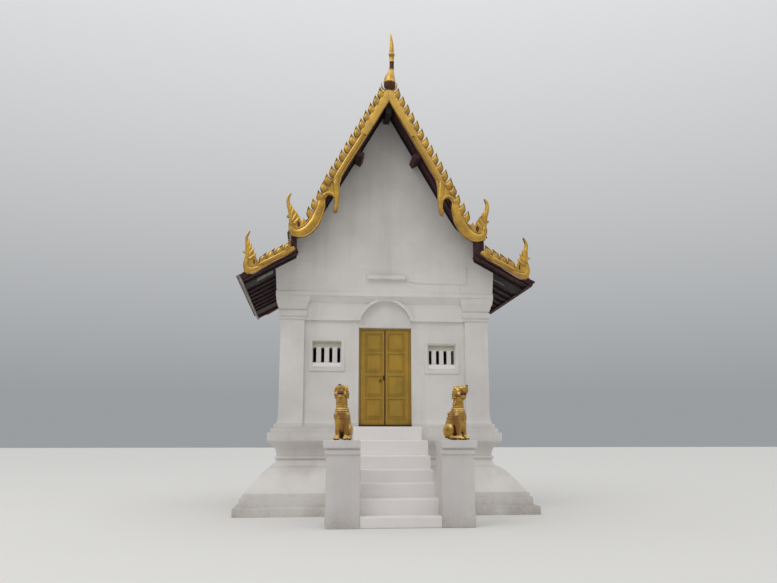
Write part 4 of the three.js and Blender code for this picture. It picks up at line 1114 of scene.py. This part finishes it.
class HALL_OT_lions(bpy.types.Operator):
    """Models the two seated lions"""
    bl_idname = "hall.lions"
    bl_label = "Lions"

    def execute(self, context):
        settings = context.scene.hall_lion
        gold = gilding(context.scene.hall_gilt, "gold_paint_on_cast_plaster", settings.bronze[:])
        mouth = plain_wood("dark_red_gloss_paint", settings.mouth[:], linear("#3A0E10"), "Z")
        lips = plain_wood("faded_pink_paint", settings.lips[:], linear("#8F6A58"), "Z")
        black = plain_wood("dark_olive_paint", linear("#241D12"), linear("#3A3018"), "Z")

        bm = bmesh.new()
        for centre, radii in BALLS:
            add_ball(bm, centre, radii)
        for start, end, first, last in LIMBS:
            add_limb(bm, start, end, first, last)
        for side in (-1, 1):
            flip = Vector((side, 1, 1))
            for centre, radii in PAIRED_BALLS:
                add_ball(bm, Vector(centre) * flip, radii)
            for start, end, first, last in PAIRED_LIMBS:
                add_limb(bm, Vector(start) * flip, Vector(end) * flip, first, last)
        body = from_bmesh("lion_body", bm, gold)
        grain = body.modifiers.new("Join", "REMESH")
        grain.mode, grain.voxel_size = "VOXEL", settings.voxel
        soften = body.modifiers.new("Soften", "SMOOTH")
        soften.factor, soften.iterations = 0.5, 5
        settle(body)
        body.data.shade_smooth()

        parts = [body]
        on_body = on_body_tree()
        size = settings.curl
        scale, curl = (
            turned_shape(name, [[part * size for part in ring] for ring in rings], 8, stretch)
            for name, rings, stretch in (("scale", SCALE, (1.0, 0.82)), ("curl", CURL, (1.0, 1.0))))
        for name, shape, rings, facing in (
                ("scales", scale, BREAST_RINGS, -math.pi / 2), ("mane", curl, MANE_RINGS, math.pi / 2)):
            parts.append(grow(f"lion_{name}", on_body, {
                "Shape": shape, "Body": body, "Axis": LION_AXIS, "Material": gold,
            }, path_mesh(f"lion_{name}_points", ring_points(rings, facing))))
        paints = {"eyes": gold, "pupils": black, "throat": mouth, "lips": lips, "nose": black}
        for name, places in FACE_BALLS.items():
            bm = bmesh.new()
            for centre, radii in places:
                add_ball(bm, centre, radii)
            parts.append(from_bmesh(f"lion_{name}", bm, paints[name]))
        lion = joined("lion", parts)
        for node, (x, y, z, turn, lean) in LION_PLACES.items():
            move = Matrix.Translation((x, y, z)) @ Matrix.Rotation(math.radians(turn), 4, "Z")
            figure = turned(lion, move, f"{node}_figure")
            low = bmesh.new()
            low.from_mesh(figure.data)
            for vert in low.verts:
                vert.co.x += lean * smooth_step(vert.co.z - z, *LEAN_HEIGHTS)
                vert.co.z = max(vert.co.z, z)
            low.to_mesh(figure.data)
            low.free()
            hand_over(figure, "gold_paint", node)
        bpy.data.objects.remove(lion)
        return {"FINISHED"}


# Door leaves: heights of the panels, their margins, and the moulding as (inset, projection).
PANELS = ((1.757, 2.145), (2.195, 2.600), (2.665, 3.038), (3.082, 3.438))
PANEL_OUTER, PANEL_INNER = 0.391, 0.052
FRAME_PROUD = 0.004
PANEL_RINGS = (
    (-0.004, -0.004), (-0.003, 0.007), (0.003, 0.010), (0.009, 0.007), (0.013, -0.003), (0.017, -0.007),
    (0.025, -0.007), (0.029, -0.001), (0.036, 0.002), (0.041, 0.001), (0.045, -0.003), (0.058, 0.004))
# Fittings on the leaves: outlines as (X, Z), a rubbed spot as (X, Z, half width, half height),
# the ring pull as (X, Z, radius, radius of its wire), and how far each stands off the leaf.
LATCH = ((-0.034, 2.505), (-0.006, 2.505), (-0.006, 2.600), (-0.034, 2.600))
# The seam strips are painted shade of the narrow gap between the leaves.
SEAM = ((0.006, 1.650), (0.015, 1.650), (0.015, 3.535), (0.006, 3.535))
WORN_SPOT = (0.070, 2.605, 0.020, 0.026)
RING_PULL, ROSE_RADIUS = (-0.092, 2.492, 0.021, 0.0035), 0.013
LATCH_THICK, ROSE_THICK, RING_OFF, SEAM_THICK, SPOT_THICK = 0.007, 0.006, 0.005, 0.001, 0.0015
SILL_ARRIS = 0.005


def moulded_panels(name, side, face_y, material):
    """Raised and fielded panels with their mouldings, laid into the sunk places of a leaf."""
    bm = bmesh.new()
    for low, high in PANELS:
        first, last = sorted((side * PANEL_INNER, side * PANEL_OUTER))
        rows = [[bm.verts.new((x, face_y - rise, z)) for x, z in (
            (first + inset, low + inset), (last - inset, low + inset),
            (last - inset, high - inset), (first + inset, high - inset))]
            for inset, rise in PANEL_RINGS]
        skin(bm, rows)
    bmesh.ops.recalc_face_normals(bm, faces=bm.faces)
    return from_bmesh(name, bm, material, sharp=28)


def wire_ring(name, centre, radius, wire, material, sides=20, facets=8):
    """A round ring hanging flat against a face that looks to -Y."""
    bm = bmesh.new()
    loops = []
    for i in range(sides):
        angle = 2 * math.pi * i / sides
        out = Vector((math.cos(angle), 0, math.sin(angle)))
        loops.append([bm.verts.new(Vector(centre) + out * (radius + wire * math.cos(turn))
                                   + Vector((0, wire * math.sin(turn), 0)))
                      for turn in (2 * math.pi * k / facets for k in range(facets))])
    skin(bm, loops + loops[:1], capped=False)
    bmesh.ops.recalc_face_normals(bm, faces=bm.faces)
    return from_bmesh(name, bm, material)


class HALL_OT_door(bpy.types.Operator):
    """Finishes the door frame, threshold and panelled leaves"""
    bl_idname = "hall.door"
    bl_label = "Door"

    def execute(self, context):
        settings = context.scene.hall_door
        paint = door_paint(settings)
        sill = plain_wood("worn_threshold_wood", linear("#4A2F1C"), linear("#2C1A10"), "X")
        hand_over(worn_copy("door_frame", "door_frame_painted", settings.arris, paint),
                  "door_paint", "door_frame")
        hand_over(worn_copy("door_threshold", "door_threshold_wood", SILL_ARRIS, sill),
                  "threshold_wood", "door_threshold")
        iron = dark_iron(settings)
        # Thin dark strips along the meeting edges: painted shade of the gap between the leaves.
        grime_and_seam_shade = plain_wood("dirt_in_door_seam", settings.grime_and_seam_shade[:], linear("#33220F"), "Z")
        worn = plain_wood("rubbed_pale_paint", linear("#B39A6A"), linear("#8F7440"), "Z")
        face_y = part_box("door_frame")[0].y + FRAME_PROUD
        x, z, radius, wire = RING_PULL
        rose = ellipse(x, z + radius, ROSE_RADIUS, ROSE_RADIUS)
        fittings = {
            "left": [
                raised_plate("latch", LATCH, LATCH_THICK, iron, face_y),
                wire_ring("ring_pull", (x, face_y - RING_OFF, z), radius, wire, iron),
                raised_plate("ring_rose", rose, ROSE_THICK, iron, face_y)],
            "right": [raised_plate("worn_spot", ellipse(*WORN_SPOT), SPOT_THICK, worn, face_y)],
        }
        for side, sign in (("left", -1), ("right", 1)):
            node = f"door_leaf_{side}"
            leaf = worn_copy(node, f"{node}_slab", settings.arris, paint)
            panels = moulded_panels(f"{node}_panels", sign, face_y, paint)
            seam = raised_plate(f"{node}_seam", [(sign * x, z) for x, z in SEAM], SEAM_THICK, grime_and_seam_shade,
                                face_y)
            piece = joined(f"{node}_painted", [leaf, panels, seam, *fittings[side]])
            hand_over(piece, "door_paint", node, body=f"{side}_leaf")
        return {"FINISHED"}


# Undersides of the two roof tiers, right half, as (X, Z) from the top down.
UPPER_SOFFIT = ((0.0, 8.03), (1.3, 5.77), (1.42, 5.59), (1.56, 5.45), (1.72, 5.335), (1.9, 5.235))
LOWER_SOFFIT = ((1.7833, 4.9), (2.83, 4.3235))
# How far the tiles, the rafters and the verge of each tier stop short of the soffit's head.
TIERS = {"upper_roof": (UPPER_SOFFIT, 0.10, 0.03, 0.06), "lower_roof": (LOWER_SOFFIT, -0.03, -0.05, 0.0)}
TILE_FOOT, WOOD_FOOT = 0.225, 0.012
ROOF_END, VERGE = 2.4995, 0.026
LAID_END = ROOF_END - VERGE
FIRST_RAFTER = 0.15
# Board that closes the wedge between the foot beam and the head of the lower slope, as (X, Z).
HEAD_BOARD = ((1.790, 4.940), (1.880, 4.890), (1.880, 5.0315), (1.790, 5.0315))
HEAD_BOARD_END = ROOF_END - 0.004
# The boards under the tiles are painted beyond this far front and back.
SHEET_THICK, SHEET_END = 0.008, 1.95
WALL_MIDDLE_Y, WALL_WIDTH = 1.725, 0.448
RAFTER_DEPTH, LATH_DEPTH, LATH_WIDTH = 0.052, 0.018, 0.030
# The tail of a tile stands so many thicknesses above its head.
TILE_THICK, TILE_GAP, TILE_EASE, TAIL_RISE = 0.012, 0.002, 0.004, 2.2
# Half a tile's outline, in tile lengths and half widths: square at the head, rounded at the tail.
TILE_SIDE = ((0.0, 1.0), (0.78, 1.0), (0.93, 0.72), (1.0, 0.26))
# Boards across the rafter ends, and how far they stand past the rafters.
OUTER_BOARD, INNER_BOARD, EAVE_DROP = 0.038, 0.014, 0.022
# Bare planks nailed under the front eaves: from X, to X, Y, width and drop.
EAVE_PLANKS = ((-2.240, -2.549, -1.920, 0.018, 0.060), (2.267, 2.500, -1.600, 0.026, 0.012))
VERGE_LOW, VERGE_TOP = 0.001, 0.088
BEAM_ARRIS = 0.006
# Ridge tiles: length, lap, flare of the tail, thickness, and room left inside the cap's box.
RIDGE_TILE, RIDGE_LAP, RIDGE_FLARE, RIDGE_THICK = 0.34, 0.045, 0.014, 0.024
RIDGE_ROOM = (0.012, 0.016)
ROOF_SHARP = 30


def rectangle(half_across, half_facing):
    """Corners of a rectangle round the origin."""
    return [(across * half_across, facing * half_facing)
            for across, facing in ((-1, -1), (1, -1), (1, 1), (-1, 1))]


class HALL_OT_roof(bpy.types.Operator):
    """Lays rafters, laths and tiles on both roof tiers"""
    bl_idname = "hall.roof"
    bl_label = "Roof"

    def rail(self, name, outline, x, z, facing, end, wood):
        """A bar along the building, its outline round a line at X, Z."""
        return grow(name, self.sweep, {
            "Profile": profile_object(f"{name}_outline", outline), "Step": 0.5,
            "Facing": Vector((facing.x, 0, facing.y)), "Material": wood,
        }, path_mesh(f"{name}_line", [[(x, end, z), (x, -end, z)]]), ROOF_SHARP)

    def tier(self, name, soffit, tile_head, rafter_head, verge_head, settings):
        """One slope: rafters, boards, verges, laths, tiles, and boards across the eave."""
        made = []

        def lay(part, line, spots, depth, width, wood):
            """Lays wood that follows the slope, one length at each Y."""
            paths = [[(x, y, z) for x, z in line] for y in spots]
            made.append(grow(f"{name}_{part}", self.sweep, {
                "Profile": profile_object(f"{part}_outline", rectangle(depth / 2, width / 2)),
                "Step": 0.12, "Facing": BACK_TO_FRONT, "Material": wood,
            }, path_mesh(f"{name}_{part}_lines", paths), ROOF_SHARP))

        rafter_line = trimmed(offset_path(soffit, RAFTER_DEPTH / 2), rafter_head, WOOD_FOOT)
        first = LAID_END - FIRST_RAFTER
        count = round(2 * first / settings.rafter_spacing) + 1
        spots = [(2 * i / (count - 1) - 1) * first for i in range(count)]
        lay("rafters", rafter_line, spots, RAFTER_DEPTH, settings.rafter_width, self.timber)
        lay("wall_planks", rafter_line, (-WALL_MIDDLE_Y, WALL_MIDDLE_Y), RAFTER_DEPTH, WALL_WIDTH,
            self.boards)
        sheet_line = trimmed(offset_path(soffit, RAFTER_DEPTH - SHEET_THICK / 2), rafter_head, WOOD_FOOT)
        painted = (LAID_END + SHEET_END) / 2
        for spot, width, wood in (
                (-painted, LAID_END - SHEET_END, self.timber), (0, 2 * SHEET_END, self.boards),
                (painted, LAID_END - SHEET_END, self.timber)):
            lay("soffit", sheet_line, (spot,), SHEET_THICK, width, wood)
        verge_line = trimmed(offset_path(soffit, (VERGE_TOP + VERGE_LOW) / 2), verge_head, 0.0)
        lay("verges", verge_line, (VERGE / 2 - ROOF_END, ROOF_END - VERGE / 2),
            VERGE_TOP - VERGE_LOW, VERGE, self.timber)

        lath_line = trimmed(offset_path(soffit, RAFTER_DEPTH), tile_head, TILE_FOOT * 0.2)
        made.append(grow(f"{name}_laths", self.along, {
            "Shape": flat_shape("lath", rectangle(LATH_WIDTH / 2, LAID_END), LATH_DEPTH),
            "Step": settings.exposure, "Facing": Vector((0, 0, 1)), "Material": self.timber,
        }, path_mesh(f"{name}_lath_line", [[(x, 0, z) for x, z in lath_line]]), ROOF_SHARP))

        above = RAFTER_DEPTH + LATH_DEPTH + 0.001
        tile_line = trimmed(offset_path(soffit, above), tile_head, TILE_FOOT)
        across = round(2 * ROOF_END / settings.tile_width)
        width, reach = 2 * ROOF_END / across, settings.tile_length
        half = width / 2 - TILE_GAP
        outline = [(reach * x, -half * y) for x, y in TILE_SIDE]
        outline += [(x, -y) for x, y in reversed(outline)]
        made.append(grow(f"{name}_tiles", self.tiles, {
            "Tile": flat_shape("tile", outline, TILE_THICK, TILE_EASE), "Width": width,
            "Exposure": settings.exposure, "Count": across, "Start": -ROOF_END, "Seed": SEED,
            "Tilt": -math.atan2(TAIL_RISE * TILE_THICK, reach), "Material": self.clay,
        }, path_mesh(f"{name}_tile_line", [[(x, 0, z) for x, z in tile_line]]), ROOF_SHARP))

        # Two boards stand across the rafter ends, the inner one painted.
        low, before = Vector(soffit[-1]), Vector(soffit[-2])
        down = (low - before).normalized()
        half = (RAFTER_DEPTH + LATH_DEPTH + 2 * EAVE_DROP) / 2
        edge = low + Vector((-down.y, down.x)) * (half - EAVE_DROP) + down * 0.002
        for layer, thick, wood in (
                ("outer", OUTER_BOARD, self.fascia), ("inner", INNER_BOARD, self.timber)):
            centre, edge = edge - down * thick / 2, edge - down * thick
            made.append(self.rail(f"{name}_{layer}_board", rectangle(half, thick / 2), *centre, down,
                                  ROOF_END, wood))
        return made

    def eave_planks(self):
        """Two bare planks nailed across the underside of the lower eaves."""
        (top_x, top_z), (foot_x, foot_z) = LOWER_SOFFIT
        drop = (top_z - foot_z) / (foot_x - top_x)
        bm = bmesh.new()
        for start, end, y, width, deep in EAVE_PLANKS:
            rows = []
            for x in (start, end):
                z = top_z - (abs(x) - top_x) * drop
                rows.append([bm.verts.new((x, y + side * width / 2, z + rise)) for side, rise in (
                    (-1, 0.002), (1, 0.002), (1, -deep), (-1, -deep))])
            skin(bm, rows)
        bmesh.ops.recalc_face_normals(bm, faces=bm.faces)
        bmesh.ops.bevel(bm, geom=bm.edges[:], offset=0.002, segments=1, affect="EDGES")
        return from_bmesh("eave_planks", bm, self.fascia, sharp=ROOF_SHARP)

    def ridge(self):
        """Angled ridge tiles, each lapped over the next."""
        rise = (UPPER_SOFFIT[0][1] - UPPER_SOFFIT[1][1]) / UPPER_SOFFIT[1][0]
        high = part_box("ridge_cap")[1]
        half, peak = high.x - RIDGE_ROOM[0], high.z - RIDGE_ROOM[1]
        outer = [(-half, -half * rise), (-0.05, -0.05 * rise * 0.62), (0, 0)]
        outer += [(-x, z) for x, z in reversed(outer[:-1])]
        inner = [(x * 0.93, z - RIDGE_THICK) for x, z in outer]
        section = outer + inner[::-1]
        bm = bmesh.new()
        ends = [[bm.verts.new((y, -x * (1 + flare), z + flare)) for x, z in section]
                for y, flare in ((0.0, 0.0), (RIDGE_TILE, RIDGE_FLARE))]
        skin(bm, ends, capped=False)
        for ring in ends:
            for i in range(len(outer) - 1):
                bm.faces.new((ring[i], ring[i + 1], ring[-2 - i], ring[-1 - i]))
        count = round((2 * ROOF_END - RIDGE_LAP) / (RIDGE_TILE - RIDGE_LAP))
        pitch = (2 * ROOF_END - RIDGE_TILE) / (count - 1)
        path = [(0, -ROOF_END + i * pitch, peak) for i in range(count)]
        return grow("ridge_tiles", self.along, {
            "Shape": small_shape("ridge_tile", bm), "Step": 0.0, "Facing": Vector((0, 0, 1)),
            "Material": self.clay}, path_mesh("ridge_line", [path]), ROOF_SHARP)

    def execute(self, context):
        settings = context.scene.hall_roof
        self.timber = plain_wood("dark_red_timber", settings.timber[:], linear("#240D12"), "Y")
        # Soffit boards, wall planks and the ridge beam are near black: painted shade under the roof.
        self.boards = plain_wood("smoke_dark_boards", settings.boards[:], linear("#151210"), "X")
        self.fascia = plain_wood("bare_grey_wood", settings.fascia[:], linear("#7C766F"), "Y")
        self.clay = fired_clay(settings)
        self.sweep, self.along, self.tiles = sweep_tree(), along_tree(), tile_tree()
        for tier, (soffit, *heads) in TIERS.items():
            parts = self.tier(tier, soffit, *heads, settings)
            if soffit == LOWER_SOFFIT:
                parts.append(self.rail("head_board", HEAD_BOARD, 0, 0, Vector((0, 1)),
                                       HEAD_BOARD_END, self.timber))
            right = joined(f"{tier}_right_laid", parts)
            left = turned(right, HALF_TURN, f"{tier}_left_laid")
            # The outer board of the eave is bare on the left; on the right it takes the dark red timber
            # paint as painted shade, on the side turned from the light.
            right.data.materials[right.data.materials.find(self.fascia.name)] = self.timber
            hand_over(right, "roof_tile", f"{tier}_right")
            hand_over(left, "roof_tile", f"{tier}_left")
        hand_over(self.ridge(), "roof_tile", "ridge_cap")
        hand_over(self.eave_planks(), "roof_timber")
        for node in NODES:
            if node.startswith(("purlin", "ridge_beam", "foot_beam")):
                wood = self.boards if node == "ridge_beam" else self.timber
                hand_over(worn_copy(node, f"{node}_timber", BEAM_ARRIS, wood), "roof_timber", node)
        return {"FINISHED"}


# Camera at the photograph's place: where it stood, how far it looks up and to the right.
CAMERA_PLACE = (-1.454, -16.902, 1.4315)
CAMERA_PITCH = math.radians(10.653)
CAMERA_YAW = math.radians(-5.747)
CAMERA_LENS_MM = 35.52
# Square lights: place, side, share of the key power, and what they point at.
LIGHTS = {
    "key_light": ((-12, -13, 19), 12.0, 1.0, (0, 0, 3)),
    "fill_light": ((13, -9, 12), 9.0, 0.04, (0, 0, 4)),
}


class HALL_OT_stage(bpy.types.Operator):
    """Sets the floor, the soft light and the camera"""
    bl_idname = "hall.stage"
    bl_label = "Stage"

    def execute(self, context):
        scene = context.scene
        scene.view_settings.view_transform = "Standard"
        settings = scene.hall_stage
        bm = bmesh.new()
        bmesh.ops.create_grid(bm, x_segments=1, y_segments=1, size=settings.floor_size / 2)
        floor = from_bmesh("studio_floor", bm, studio_paper(settings), smooth=False)

        world = bpy.data.worlds.new("studio_light")
        scene.world = world
        world.use_nodes = True
        world.node_tree.nodes.clear()
        add = partial(add_node, world.node_tree)
        way = add("ShaderNodeTexCoord").outputs["Generated"]
        height = add("ShaderNodeSeparateXYZ", {0: way}).outputs[2]
        share = add("ShaderNodeMapRange", {"Value": height, "From Min": 0.05, "From Max": 0.9})
        dome = add("ShaderNodeMix", {0: share, 6: settings.horizon[:], 7: settings.zenith[:]},
                   data_type="RGBA").outputs[2]
        sky = add("ShaderNodeBackground", {"Color": dome, "Strength": settings.sky_strength})
        add("ShaderNodeOutputWorld", {"Surface": sky})
        for name, (place, side, part, aim) in LIGHTS.items():
            light = bpy.data.lights.new(name, "AREA")
            light.size = side
            light.energy = settings.key_power * part
            lamp = bpy.data.objects.new(name, light)
            lamp.location = place
            lamp.rotation_euler = (Vector(aim) - Vector(place)).to_track_quat("-Z", "Y").to_euler()
            scene.collection.objects.link(lamp)

        lens = bpy.data.cameras.new("photo_view")
        lens.sensor_width = 36
        lens.lens = CAMERA_LENS_MM
        lens.clip_end = 300
        camera = bpy.data.objects.new("photo_view", lens)
        camera.location = CAMERA_PLACE
        camera.rotation_euler = (math.pi / 2 + CAMERA_PITCH, 0, CAMERA_YAW)
        scene.collection.objects.link(camera)
        bpy.context.scene.camera = camera
        return {"FINISHED"}


class HALL_PT_panel(bpy.types.Panel):
    """Lists the hall's steps"""
    bl_idname = "HALL_PT_panel"
    bl_label = "Ordination Hall"
    bl_space_type = "VIEW_3D"
    bl_region_type = "UI"
    bl_category = "Hall"

    def draw(self, context):
        for step in STEPS:
            self.layout.operator(step.bl_idname)
        for group in GROUPS:
            settings = getattr(context.scene, group)
            for item in settings.__annotations__:
                self.layout.prop(settings, item)


STEPS = (
    HALL_OT_stage, HALL_OT_masonry, HALL_OT_gilding, HALL_OT_lions, HALL_OT_door, HALL_OT_roof)
GROUPS = {
    "hall_masonry": MasonryProperties,
    "hall_gilt": GiltProperties,
    "hall_door": DoorProperties,
    "hall_roof": RoofProperties,
    "hall_lion": LionProperties,
    "hall_stage": StageProperties,
}
CLASSES = (*GROUPS.values(), *STEPS, HALL_PT_panel)


def register():
    for item in CLASSES:
        bpy.utils.register_class(item)
    for name, group in GROUPS.items():
        setattr(bpy.types.Scene, name, PointerProperty(type=group))


def unregister():
    for name in GROUPS:
        delattr(bpy.types.Scene, name)
    for item in reversed(CLASSES):
        bpy.utils.unregister_class(item)


def main():
    register()
    bpy.ops.hall.stage()
    bpy.ops.hall.masonry()
    bpy.ops.hall.gilding()
    bpy.ops.hall.lions()
    bpy.ops.hall.door()
    bpy.ops.hall.roof()


if __name__ == "__main__":
    main()
